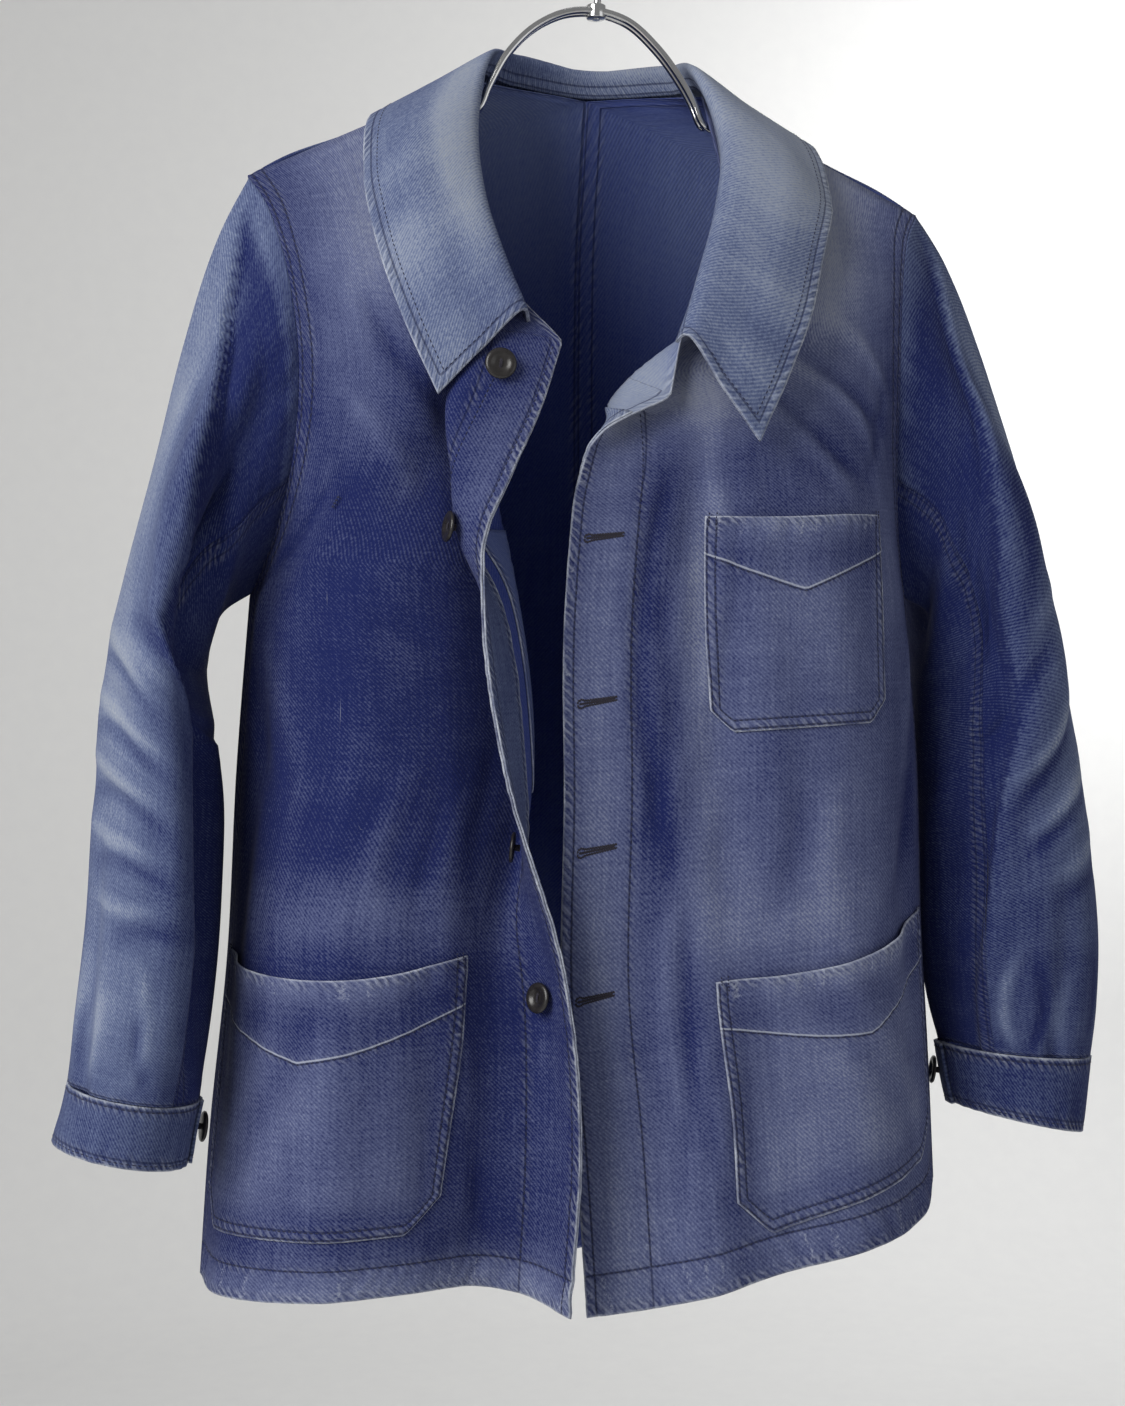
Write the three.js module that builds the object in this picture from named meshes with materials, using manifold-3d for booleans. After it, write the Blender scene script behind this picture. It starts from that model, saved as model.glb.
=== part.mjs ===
// A cotton drill chore jacket, open at the front, hanging on a double wire hanger.
// Millimetres, +Z up. X runs to the wearer's left, Y from the fronts to the back, and the
// origin is where the hook bears on its rail. "Right" and "left" are the wearer's.
//
// The tables give heights above the hem line, and the whole garment is then lowered by
// RAIL_HEIGHT. Every piece of cloth is a wall of its own around a surface laid through
// its sections, and what is sewn on a panel is made from that panel's points, moved out.
import * as THREE from "three";
import { mergeVertices } from "three/addons/utils/BufferGeometryUtils.js";
import Module from "manifold-3d";

const wasm = await Module();
wasm.setup();

// Driving dimensions
const RAIL_HEIGHT = 902; // hem line to the rail
const CLOTH = 1.2; // one layer of drill
const FACING = 1.0; // a facing
const POCKETING = 0.9; // the inner pocket
const CUFF = 2.2; // a cuff, folded double
const GAP = 0.3; // between pieces at a seam
const ARMPIT_ROW = 4; // the section, in each body table, that lies at the armpit
const CORNER_ROW = 8; // the section, in each front's table, at the top of its edge
const NECK_ROW = 9; // the section, in each back's table, at the neck
const PLACKET = 42; // front edge to the stitching of the facing
const ROD_RADIUS = 2.4;
const BUTTON_RADIUS = 9.5;

const BLUE = { cloth: 0x3f4a86, collar: 0x66738f, sleeve: 0x4c5c88, inside: 0x2f3675 };

const point = (x, y, h) => new THREE.Vector3(x, y, h);
const lerp = THREE.MathUtils.lerp;
const smooth = THREE.MathUtils.smoothstep;
const steps = (n, from = 0, to = 1) => Array.from({ length: n + 1 }, (_, i) => lerp(from, to, i / n));

// A curve through points at rising knots. Each tangent is that of the parabola through
// a point and its neighbours, so the curve keeps close to its points.
function through(points, knots) {
  const last = points.length - 1;
  const slope = (i) => points[i + 1].clone().sub(points[i]).divideScalar(knots[i + 1] - knots[i]);
  const tangents = points.map((_, i) => {
    if (i === 0) return slope(0);
    if (i === last) return slope(last - 1);
    const before = knots[i] - knots[i - 1];
    const after = knots[i + 1] - knots[i];
    return slope(i - 1).multiplyScalar(after).addScaledVector(slope(i), before).divideScalar(before + after);
  });
  return (t) => {
    let i = 0;
    while (i < last - 1 && t > knots[i + 1]) i += 1;
    const span = knots[i + 1] - knots[i];
    const s = (t - knots[i]) / span;
    return points[i].clone().multiplyScalar(1 + s * s * (2 * s - 3))
      .addScaledVector(tangents[i], span * s * (s - 1) * (s - 1))
      .addScaledVector(points[i + 1], s * s * (3 - 2 * s))
      .addScaledVector(tangents[i + 1], span * s * s * (s - 1));
  };
}

const chords = (points) => {
  const knots = [0];
  points.slice(1).forEach((p, i) => knots.push(knots[i] + Math.max(p.distanceTo(points[i]), 1e-3)));
  return knots;
};

// The same curve by length: at(distance) and its whole length.
function measured(points) {
  const knots = chords(points);
  const curve = through(points, knots);
  const fine = steps(96, 0, knots.at(-1)).map(curve);
  const lengths = chords(fine);
  const length = lengths.at(-1);
  const at = (distance) => {
    if (distance <= 0) return fine[0].clone();
    if (distance >= length) return fine.at(-1).clone();
    const i = lengths.findIndex((l) => l >= distance);
    return fine[i - 1].clone().lerp(fine[i], (distance - lengths[i - 1]) / (lengths[i] - lengths[i - 1]));
  };
  return { at, length };
}

// How far a table of folds lifts the cloth at (u, v). Each row is a soft ridge, or a trough
// where its lift is negative, that fades out towards both ends.
const foldLift = (folds) => (u, v) =>
  folds.reduce((sum, f) => {
    const du = f.to[0] - f.from[0];
    const dv = f.to[1] - f.from[1];
    const t = THREE.MathUtils.clamp(((u - f.from[0]) * du + (v - f.from[1]) * dv) / (du * du + dv * dv), 0, 1);
    const off = Math.hypot(u - f.from[0] - t * du, (v - f.from[1] - t * dv) * f.stretch) / f.width;
    const ends = f.open ? 1 : Math.sin(Math.PI * Math.min(Math.max(t, 0.12), 0.88));
    return sum + f.lift * ends * Math.exp(-off * off);
  }, 0);

// A surface from base(u, v), with its folds raised along the base's normal.
function surfaceOf(base, lift = () => 0) {
  const step = 0.004;
  const normalOf = (f) => (u, v) => {
    const u0 = Math.max(u - step, 0);
    const u1 = Math.min(u + step, 1);
    const v0 = Math.max(v - step, 0);
    const v1 = Math.min(v + step, 1);
    const along = f(u1, v).sub(f(u0, v));
    const up = f(u, v1).sub(f(u, v0));
    return along.cross(up).normalize();
  };
  const baseNormal = normalOf(base);
  const at = (u, v) => base(u, v).addScaledVector(baseNormal(u, v), lift(u, v));
  return { at, normal: normalOf(at) };
}

// Cloth body panels
// Each row is a section from the side seam or armhole to the front edge or centre back.
// side and edge give heights; at lists the [x, y] where the section passes, with a third
// number where the cloth rides above the line from side to edge.
const RIGHT_FRONT = [
  { side: 20, edge: 11, at: [[-249, 14], [-241, -44, 3], [-190, -90, 9], [-126, -88, 12], [-82, -68, 10], [-58, -71, 6], [-36, -102]] },
  { side: 110, edge: 109, at: [[-243, 14], [-230, -44], [-184, -90], [-119, -88], [-76, -69], [-52, -73], [-29, -102]] },
  { side: 220, edge: 217, at: [[-232, 14], [-222, -42], [-174, -86], [-113, -88], [-69, -68], [-52, -75], [-40, -106]] },
  { side: 340, edge: 338, at: [[-226, 14], [-210, -38], [-164, -80], [-108, -82], [-51, -62], [-70, -98], [-78, -118]] },
  { side: 448, edge: 440, at: [[-218, 10], [-202, -36], [-160, -76], [-110, -78], [-60, -60], [-86, -98], [-92, -120]] },
  { side: 482, edge: 474, at: [[-206, -18], [-188, -48], [-150, -74], [-108, -76], [-66, -58], [-101, -98], [-91, -120]] },
  { side: 530, edge: 514, at: [[-196, -39], [-180, -54], [-146, -72], [-112, -74], [-74, -52], [-106, -100], [-74, -117]] },
  { side: 586, edge: 558, at: [[-192, -42], [-174, -54], [-143, -70], [-116, -74], [-88, -54], [-108, -97], [-53, -108]] },
  { side: 634, edge: 597, at: [[-196, -36], [-176, -50], [-145, -64], [-118, -71], [-98, -58], [-92, -90], [-39, -98]] },
  { side: 670, edge: 646, at: [[-203, -24], [-180, -36], [-155, -47], [-132, -56], [-113, -62], [-94, -68], [-72, -74]] },
  { side: 697, edge: 716, at: [[-212, -9], [-187, -14], [-163, -19], [-141, -24], [-120, -29], [-100, -33], [-82, -37]] },
  { side: 712, edge: 782, at: [[-220, 4], [-196, 4.4], [-172, 4.8], [-148, 5.2], [-124, 5.6], [-100, 6], [-76, 6.4]] },
];
const LEFT_FRONT = [
  { side: 60, edge: 0, at: [[238, 4], [214, -42, -4], [160, -82, -4], [106, -78, -6], [60, -84, -6], [26, -74, -4], [-17, -66]] },
  { side: 136, edge: 96, at: [[233, 0], [209, -44], [156, -84], [102, -82], [56, -88], [20, -76], [-24, -68]] },
  { side: 236, edge: 198, at: [[226, -4], [204, -46], [152, -84], [98, -84], [50, -88], [10, -78], [-34, -70]] },
  { side: 340, edge: 318, at: [[224, -2], [202, -44], [150, -80], [96, -84], [46, -84], [8, -84], [-34, -78]] },
  { side: 450, edge: 436, at: [[219, 8], [196, -40], [146, -76], [94, -82], [44, -82], [8, -86], [-34, -80]] },
  { side: 484, edge: 476, at: [[210, -6], [190, -42], [144, -74], [92, -82], [44, -82], [8, -88], [-32, -84]] },
  { side: 530, edge: 512, at: [[204, -18], [184, -44], [140, -70], [90, -82], [46, -84], [6, -88], [-28, -88]] },
  { side: 584, edge: 544, at: [[203, -25], [182, -44], [138, -66], [94, -78], [52, -84], [-6, -84], [-14, -98]] },
  { side: 630, edge: 566, at: [[204, -26], [183, -40], [142, -58], [102, -70], [58, -78], [5, -79], [28, -98]] },
  { side: 666, edge: 630, at: [[208, -20], [186, -32], [156, -46], [126, -56], [98, -64], [70, -72], [46, -78]] },
  { side: 694, edge: 706, at: [[216, -9], [190, -14], [166, -19], [144, -25], [122, -31], [100, -36], [79, -41]] },
  { side: 708, edge: 780, at: [[226, 4], [201, 4.4], [176, 4.8], [151, 5.2], [127, 5.6], [102, 6], [77, 6.4]] },
];
const RIGHT_BACK = [
  { side: 20, edge: 0, at: [[-249, 14], [-233, 60], [-182, 92], [-126, 104], [-58, 92], [10, 98]] },
  { side: 110, edge: 108, at: [[-243, 14], [-226, 56], [-180, 88], [-122, 100], [-56, 90], [10, 95]] },
  { side: 220, edge: 220, at: [[-232, 14], [-222, 52], [-176, 82], [-118, 94], [-54, 86], [10, 90]] },
  { side: 340, edge: 344, at: [[-226, 14], [-216, 48], [-172, 76], [-116, 86], [-54, 83], [10, 86]] },
  { side: 448, edge: 456, at: [[-218, 10], [-208, 42], [-168, 70], [-114, 81], [-54, 82], [10, 86]] },
  { side: 482, edge: 500, at: [[-209, 26], [-194, 49], [-160, 70], [-110, 82], [-52, 84], [10, 87]] },
  { side: 530, edge: 562, at: [[-203, 42], [-186, 58], [-154, 74], [-106, 84], [-50, 86], [10, 88]] },
  { side: 586, edge: 630, at: [[-203, 49], [-184, 62], [-152, 76], [-104, 84], [-48, 86], [10, 87]] },
  { side: 634, edge: 702, at: [[-206, 46], [-188, 56], [-156, 68], [-108, 77], [-50, 80], [10, 80]] },
  { side: 670, edge: 787, at: [[-210, 36], [-194, 43], [-164, 51], [-118, 57], [-56, 58], [10, 56]] },
  { side: 697, edge: 788, at: [[-216, 19], [-198, 22], [-170, 26], [-132, 30], [-86, 34], [-46, 38]] },
  { side: 712, edge: 782, at: [[-220, 4], [-196, 4.4], [-162, 5], [-130, 5.5], [-100, 6], [-76, 6.4]] },
];
const LEFT_BACK = [
  { side: 60, edge: 0, at: [[238, 4], [236, 58, -8], [190, 94, -6], [138, 104], [76, 94], [10, 98]] },
  { side: 136, edge: 108, at: [[233, 0], [232, 54], [186, 90], [134, 100], [74, 92], [10, 95]] },
  { side: 236, edge: 220, at: [[226, -4], [228, 48], [182, 84], [130, 92], [72, 88], [10, 90]] },
  { side: 340, edge: 344, at: [[224, -2], [224, 42], [180, 76], [128, 86], [72, 84], [10, 86]] },
  { side: 450, edge: 456, at: [[219, 8], [214, 44], [176, 72], [126, 82], [70, 84], [10, 86]] },
  { side: 484, edge: 500, at: [[212, 28], [198, 52], [168, 72], [122, 83], [70, 85], [10, 87]] },
  { side: 530, edge: 562, at: [[207, 45], [190, 60], [162, 74], [120, 84], [68, 87], [10, 88]] },
  { side: 584, edge: 630, at: [[208, 51], [189, 63], [160, 76], [118, 84], [68, 87], [10, 87]] },
  { side: 630, edge: 702, at: [[211, 47], [192, 57], [164, 68], [122, 77], [70, 80], [10, 80]] },
  { side: 666, edge: 787, at: [[215, 36], [199, 43], [172, 51], [130, 57], [74, 58], [10, 56]] },
  { side: 694, edge: 788, at: [[221, 19], [204, 22], [178, 26], [146, 30], [104, 34], [66, 38]] },
  { side: 708, edge: 780, at: [[226, 4], [201, 4.4], [168, 5], [136, 5.5], [104, 6], [77, 6.4]] },
];

// The folds of each panel: u runs from the side to the edge, v from the hem to the shoulder.
const BODY_FOLDS = {
  rightFront: [
    { from: [0.1, 0.2], to: [0.14, 0.62], width: 0.05, stretch: 0.5, lift: -4 },
    { from: [0.46, 0.0], to: [0.4, 0.4], width: 0.06, stretch: 0.5, lift: 4 },
    { from: [0.3, 0.66], to: [0.5, 0.86], width: 0.06, stretch: 0.8, lift: -4 },
    { from: [0.66, 0.02], to: [0.62, 0.3], width: 0.05, stretch: 0.5, lift: -4 },
  ],
  leftFront: [
    { from: [0.64, 0.12], to: [0.7, 0.78], width: 0.05, stretch: 0.5, lift: -4 },
    { from: [0.52, 0.2], to: [0.58, 0.68], width: 0.05, stretch: 0.5, lift: 3 },
    { from: [0.22, 0.05], to: [0.16, 0.55], width: 0.05, stretch: 0.5, lift: -4 },
    { from: [0.74, 0.03], to: [0.66, 0.26], width: 0.05, stretch: 0.5, lift: 4 },
  ],
  rightBack: [
    { from: [0.34, 0.05], to: [0.4, 0.6], width: 0.08, stretch: 0.5, lift: 5 },
    { from: [0.64, 0.0], to: [0.6, 0.48], width: 0.07, stretch: 0.5, lift: -6 },
    { from: [0.1, 0.58], to: [0.5, 0.8], width: 0.08, stretch: 0.8, lift: -3 },
  ],
  leftBack: [
    { from: [0.38, 0.02], to: [0.32, 0.56], width: 0.08, stretch: 0.5, lift: 5 },
    { from: [0.68, 0.04], to: [0.64, 0.5], width: 0.07, stretch: 0.5, lift: -6 },
    { from: [0.12, 0.6], to: [0.48, 0.78], width: 0.08, stretch: 0.8, lift: -3 },
  ],
};

// The surface of a body panel. flip turns it so that its normal always faces out.
function panelOf(rows, folds, flip, corner) {
  const rise = rows.map((row) => row.side);
  const vOf = (side) => (side - rise[0]) / (rise.at(-1) - rise[0]);
  const knots = rise.map(vOf);
  const stations = rows[0].at.length;
  const places = rows.map((row) =>
    row.at.map(([x, y, raised = 0], i) => point(x, y, lerp(row.side, row.edge, i / (stations - 1)) + raised)));
  // A column that turns a corner is two curves, so that neither bends the other.
  const cornered = (i, at) => {
    const below = through(places.slice(0, at + 1).map((row) => row[i]), knots.slice(0, at + 1));
    const above = through(places.slice(at).map((row) => row[i]), knots.slice(at));
    return (v) => (v <= knots[at] ? below(v) : above(v));
  };
  const columns = steps(stations - 1).map((_, i) => through(places.map((row) => row[i]), knots));
  columns[0] = cornered(0, ARMPIT_ROW);
  columns[stations - 1] = cornered(stations - 1, corner);
  const kept = new Map();
  const row = (v) => {
    if (!kept.has(v)) kept.set(v, measured(columns.map((column) => column(v))));
    return kept.get(v);
  };
  const base = (u, v) => row(v).at((flip ? 1 - u : u) * row(v).length);
  const lift = foldLift(folds);
  const surface = surfaceOf(base, (u, v) => {
    const across = flip ? 1 - u : u;
    const calm = smooth(across, 0, 0.12) * smooth(1 - across, 0, 0.1) * smooth(1 - v, 0, 0.15);
    return lift(across, v) * calm;
  });
  return { ...surface, row, vOf, flip };
}

const panels = {
  rightFront: panelOf(RIGHT_FRONT, BODY_FOLDS.rightFront, false, CORNER_ROW),
  leftFront: panelOf(LEFT_FRONT, BODY_FOLDS.leftFront, true, CORNER_ROW),
  rightBack: panelOf(RIGHT_BACK, BODY_FOLDS.rightBack, true, NECK_ROW),
  leftBack: panelOf(LEFT_BACK, BODY_FOLDS.leftBack, false, NECK_ROW),
};

// Walls
// A closed wall around a grid of points: out and into give how far its faces lie from them
// along the normals. rows and columns pick the part of the grid that it covers, cuts lists
// corners cut off along a cell's diagonal, and split is the column where the diagonals turn.
function wallGeometry(grid, out, into, options = {}) {
  const { points, normals } = grid;
  const { rows = [0, points.length - 1], columns = [0, points[0].length - 1], cuts = [] } = options;
  const { closed = false, split = grid.split ?? 0 } = options;
  const width = points[0].length;
  const id = (j, i) => j * width + (i % width);
  const corners = cuts.map((cut) => (cut === "first" ? id(rows[0], columns[0]) : id(rows[0], columns[1])));
  const faces = [];
  for (let j = rows[0]; j < rows[1]; j += 1)
    for (let i = columns[0]; i < (closed ? width : columns[1]); i += 1) {
      const [a, b, c, d] = [id(j, i), id(j, i + 1), id(j + 1, i + 1), id(j + 1, i)];
      faces.push(...(i < split ? [[a, b, d], [b, c, d]] : [[a, b, c], [a, c, d]]));
    }
  const kept = faces.filter((face) => !corners.some((corner) => face.includes(corner)));
  const sides = new Map();
  kept.forEach((face) => face.forEach((from, k) => sides.set(from + ">" + face[(k + 1) % 3], [from, face[(k + 1) % 3]])));
  const used = [...new Set(kept.flat())];
  const placeOf = new Map(used.map((n, k) => [n, k]));
  const position = [out, into].flatMap((shift) => used.flatMap((n) => {
    const [j, i] = [Math.floor(n / width), n % width];
    return points[j][i].clone().addScaledVector(normals[j][i], shift).toArray();
  }));
  const outer = (n) => placeOf.get(n);
  const inner = (n) => placeOf.get(n) + used.length;
  const index = kept.flatMap(([a, b, c]) => [outer(a), outer(b), outer(c), inner(a), inner(c), inner(b)]);
  sides.forEach(([from, to]) => {
    if (!sides.has(to + ">" + from))
      index.push(outer(to), outer(from), inner(from), outer(to), inner(from), inner(to));
  });
  const geometry = new THREE.BufferGeometry();
  geometry.setAttribute("position", new THREE.Float32BufferAttribute(position, 3));
  geometry.setIndex(index);
  geometry.computeVertexNormals();
  return geometry;
}

const jacket = new THREE.Group();
jacket.position.z = -RAIL_HEIGHT;

function add(name, geometry, colour, roughness = 0.9, metalness = 0) {
  const material = new THREE.MeshStandardMaterial({ color: colour, roughness, metalness });
  const mesh = new THREE.Mesh(geometry, material);
  mesh.name = name;
  jacket.add(mesh);
  return mesh;
}

// A grid of a surface: u of each column, v of each row.
function gridOf(surface, us, vs) {
  return {
    points: vs.map((v) => us.map((u) => surface.at(u, v))),
    normals: vs.map((v) => us.map((u) => surface.normal(u, v))),
  };
}

// The body: every grid row above the armpit meets one of the sleeve's points. The columns
// of a front are distances from its edge, so that what is sewn on it ends at a column, and
// its rows are heights at the side. firm ones keep their distance; the rest share what is left.
const RIGHT_HEIGHTS = [20, 40, 60, 90, 120, 148, 176, 203, 229, 261, 294, 306, 322, 352, 384, 416, 448,
  470, 492, 530, 572, 612, 634, 670, 684, 698, 712];
const LEFT_HEIGHTS = [60, 69, 78, 104, 132, 158, 184, 210, 236, 262, 288, 316, 342, 374, 394, 417, 450,
  478, 503, 544, 578, 606, 630, 666, 680, 694, 708];
const ROWS_BELOW = 16;
const ROWS_ABOVE = 10;
const FRONT_COLUMNS = {
  at: [0, 14, 28, 42, 56, 70, 84, 99, 119, 144, 170, 195, 210, 234, 256, 274, 298],
  firm: 210,
};
const BACK_COLUMNS = steps(10).map((share) => share * 100);

function bodyGrid(panel, heights, { at, firm }) {
  const full = at.at(-1);
  const distance = (d, length) => {
    const scale = Math.min(1, (length - 50) / firm);
    return d <= firm ? d * scale : lerp(firm * scale, length, (d - firm) / (full - firm));
  };
  const ordered = panel.flip ? at : at.slice().reverse();
  const vs = heights.map(panel.vOf);
  const cells = vs.map((v) => ordered.map((d) => {
    const { length } = panel.row(v);
    const share = distance(d, length) / length;
    return [panel.flip ? share : 1 - share, v];
  }));
  return {
    points: cells.map((row) => row.map(([u, v]) => panel.at(u, v))),
    normals: cells.map((row) => row.map(([u, v]) => panel.normal(u, v))),
    heights,
    ordered,
    sideFirst: !panel.flip,
    split: ordered.findIndex((d) => (panel.flip ? d > full / 2 : d < full / 2)),
  };
}

const backColumns = { at: BACK_COLUMNS, firm: 0.01 };
const grids = {
  rightFront: bodyGrid(panels.rightFront, RIGHT_HEIGHTS, FRONT_COLUMNS),
  leftFront: bodyGrid(panels.leftFront, LEFT_HEIGHTS, FRONT_COLUMNS),
  rightBack: bodyGrid(panels.rightBack, RIGHT_HEIGHTS, backColumns),
  leftBack: bodyGrid(panels.leftBack, LEFT_HEIGHTS, backColumns),
};

const sideOf = (list, grid) => (grid.sideFirst ? list[0] : list.at(-1));
const sideIndex = (grid) => (grid.sideFirst ? 0 : grid.points[0].length - 1);

// Sleeves
// Each row is a ring: outer and inner give [x, height] of its ends, middle and depth its y.
const RIGHT_SLEEVE = [
  { along: 0, outer: [-220, 712], inner: [-218, 448], middle: 2, depth: 46 },
  { along: 0.09, outer: [-243, 662], inner: [-236, 436], middle: 2, depth: 58 },
  { along: 0.18, outer: [-260, 604], inner: [-243, 420], middle: 2, depth: 66 },
  { along: 0.29, outer: [-277, 532], inner: [-245, 396], middle: 2, depth: 70 },
  { along: 0.4, outer: [-295, 462], inner: [-241, 364], middle: 0, depth: 71 },
  { along: 0.52, outer: [-309, 398], inner: [-236, 322], middle: -4, depth: 70 },
  { along: 0.66, outer: [-315, 318], inner: [-237, 268], middle: -14, depth: 66 },
  { along: 0.79, outer: [-319, 248], inner: [-241, 216], middle: -26, depth: 60 },
  { along: 0.9, outer: [-325, 194], inner: [-247, 172], middle: -36, depth: 55 },
  { along: 1, outer: [-329, 154], inner: [-253, 141], middle: -42, depth: 50 },
];
const LEFT_SLEEVE = [
  { along: 0, outer: [226, 708], inner: [219, 450], middle: 4, depth: 47 },
  { along: 0.09, outer: [252, 670], inner: [238, 440], middle: 8, depth: 58 },
  { along: 0.18, outer: [274, 622], inner: [238, 424], middle: 12, depth: 64 },
  { along: 0.29, outer: [298, 552], inner: [235, 400], middle: 16, depth: 66 },
  { along: 0.4, outer: [320, 476], inner: [234, 368], middle: 18, depth: 66 },
  { along: 0.52, outer: [338, 392], inner: [234, 324], middle: 18, depth: 64 },
  { along: 0.66, outer: [350, 300], inner: [235, 268], middle: 14, depth: 60 },
  { along: 0.79, outer: [355, 226], inner: [234, 216], middle: 8, depth: 55 },
  { along: 0.9, outer: [352, 176], inner: [238, 180], middle: 4, depth: 50 },
  { along: 1, outer: [346, 142], inner: [244, 152], middle: 0, depth: 46 },
];
const RIGHT_CUFF = [
  { along: 0, outer: [-329.1, 153.5], inner: [-253.1, 140.5], middle: -42, depth: 50 },
  { along: 0.5, outer: [-333, 136], inner: [-257, 121], middle: -43, depth: 49 },
  { along: 1, outer: [-338, 119], inner: [-260, 103], middle: -44, depth: 48 },
];
const LEFT_CUFF = [
  { along: 0, outer: [345.9, 141.5], inner: [244.1, 151.5], middle: 0, depth: 46 },
  { along: 0.5, outer: [343, 116], inner: [248, 130], middle: 0, depth: 45 },
  { along: 1, outer: [339, 91], inner: [252, 111], middle: -1, depth: 44 },
];
// u runs round the sleeve from the armpit by the front; v from the armhole to the cuff.
const SLEEVE_FOLDS = {
  right: [
    { from: [0.33, 0.02], to: [0.3, 0.42], width: 0.05, stretch: 0.25, lift: 13 },
    { from: [0.22, 0.08], to: [0.19, 0.42], width: 0.06, stretch: 0.25, lift: -13 },
    { from: [0.24, 0.4], to: [0.2, 0.86], width: 0.045, stretch: 0.25, lift: 8 },
    { from: [0.13, 0.42], to: [0.12, 0.8], width: 0.045, stretch: 0.25, lift: -11 },
    { from: [0.7, 0.04], to: [0.76, 0.4], width: 0.05, stretch: 0.25, lift: -11 },
    { from: [0.62, 0.05], to: [0.64, 0.5], width: 0.06, stretch: 0.25, lift: 6 },
    { from: [0.28, 0.56], to: [0.5, 0.52], width: 0.045, stretch: 1.2, lift: -3.5 },
    { from: [0.26, 0.66], to: [0.5, 0.63], width: 0.045, stretch: 1.2, lift: -3.5 },
    { from: [0.42, 0.8], to: [0.4, 1], width: 0.03, stretch: 0.25, lift: -4, open: true },
  ],
  left: [
    { from: [0.4, 0.02], to: [0.42, 0.5], width: 0.06, stretch: 0.25, lift: -7 },
    { from: [0.27, 0.1], to: [0.33, 0.46], width: 0.06, stretch: 0.25, lift: 9 },
    { from: [0.17, 0.2], to: [0.2, 0.46], width: 0.05, stretch: 0.25, lift: -10 },
    { from: [0.14, 0.6], to: [0.33, 0.48], width: 0.05, stretch: 0.9, lift: 6 },
    { from: [0.24, 0.62], to: [0.42, 0.52], width: 0.045, stretch: 1, lift: -5 },
    { from: [0.7, 0.04], to: [0.76, 0.42], width: 0.05, stretch: 0.25, lift: -11 },
    { from: [0.6, 0.1], to: [0.64, 0.6], width: 0.06, stretch: 0.25, lift: 5 },
    { from: [0.3, 0.82], to: [0.28, 1], width: 0.03, stretch: 0.25, lift: -4, open: true },
  ],
};
const UNDER_FROM = 0.86; // the under sleeve's seams, round the sleeve
const UNDER_TO = 1.14;
const SLEEVE_ROUND = 2 * ROWS_ABOVE;
const SLEEVE_ROWS = 18;

function tubeOf(rows, side, hold = null) {
  const knots = rows.map((row) => row.along);
  const column = (read) => through(rows.map(read), knots);
  const outer = column((row) => point(row.outer[0], 0, row.outer[1]));
  const inner = column((row) => point(row.inner[0], 0, row.inner[1]));
  const across = column((row) => point(row.middle, row.depth, 0));
  const ring = (u, v) => {
    const high = outer(v);
    const low = inner(v);
    const { x: middle, y: depth } = across(v);
    const angle = 2 * Math.PI * u;
    return high.clone().add(low).multiplyScalar(0.5)
      .addScaledVector(low.sub(high).multiplyScalar(0.5), Math.cos(angle))
      .add(point(0, middle - depth * Math.sin(angle), 0));
  };
  // hold is the curve that the first ring is sewn to; the rings below it ease away from it.
  const held = (u, v) => {
    const wrapped = u - Math.floor(u);
    const p = ring(wrapped, v);
    if (!hold) return p;
    const ease = 1 - smooth(v, 0, 0.34);
    return p.add(hold.at(wrapped).sub(ring(wrapped, 0)).multiplyScalar(ease));
  };
  return side === "right" ? held : (u, v) => held(u, v);
}

// A tube's surface. u may run past 1, so both ways round are measured on the same ring.
function sleeveSurface(rows, side, hold, folds) {
  const base = tubeOf(rows, side, hold);
  const lift = foldLift(folds);
  const step = 0.004;
  const outward = side === "right" ? -1 : 1;
  const normalOf = (f) => (u, v) => {
    const round = f(u + step, v).sub(f(u - step, v));
    const along = f(u, Math.min(v + step, 1)).sub(f(u, Math.max(v - step, 0)));
    return along.cross(round).normalize().multiplyScalar(outward);
  };
  const baseNormal = normalOf(base);
  const at = (u, v) => {
    const wrapped = u - Math.floor(u);
    const calm = smooth(v, 0, 0.12);
    return base(u, v).addScaledVector(baseNormal(u, v), lift(wrapped, v) * calm);
  };
  return { at, normal: normalOf(at), shares: hold ? hold.shares : steps(SLEEVE_ROUND) };
}

// The armhole as the body's grids have it, from the armpit by the front to the armpit.
function armholeOf(front, back) {
  const rows = (grid) => grid.points.slice(ROWS_BELOW).map((row) => sideOf(row, grid));
  const loop = [...rows(front), ...rows(back).reverse().slice(1)].map((p) => p.clone());
  const lengths = chords(loop);
  const shares = lengths.map((length) => length / lengths.at(-1));
  return { at: through(loop, shares), shares };
}

const sleeves = {
  right: sleeveSurface(RIGHT_SLEEVE, "right", armholeOf(grids.rightFront, grids.rightBack), SLEEVE_FOLDS.right),
  left: sleeveSurface(LEFT_SLEEVE, "left", armholeOf(grids.leftFront, grids.leftBack), SLEEVE_FOLDS.left),
};

// At the shoulder seam front and back share the direction that stands on the seam.
function mitreShoulder(front, back) {
  const ends = [sideOf(front.points.at(-1), front), front.points.at(-1).at(front.sideFirst ? -1 : 0)];
  const seam = ends[1].clone().sub(ends[0]).normalize();
  const up = point(0, 0, 1).addScaledVector(seam, -seam.z).normalize();
  [front, back].forEach((grid) => grid.normals.at(-1).forEach((normal) => normal.copy(up)));
}

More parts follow.
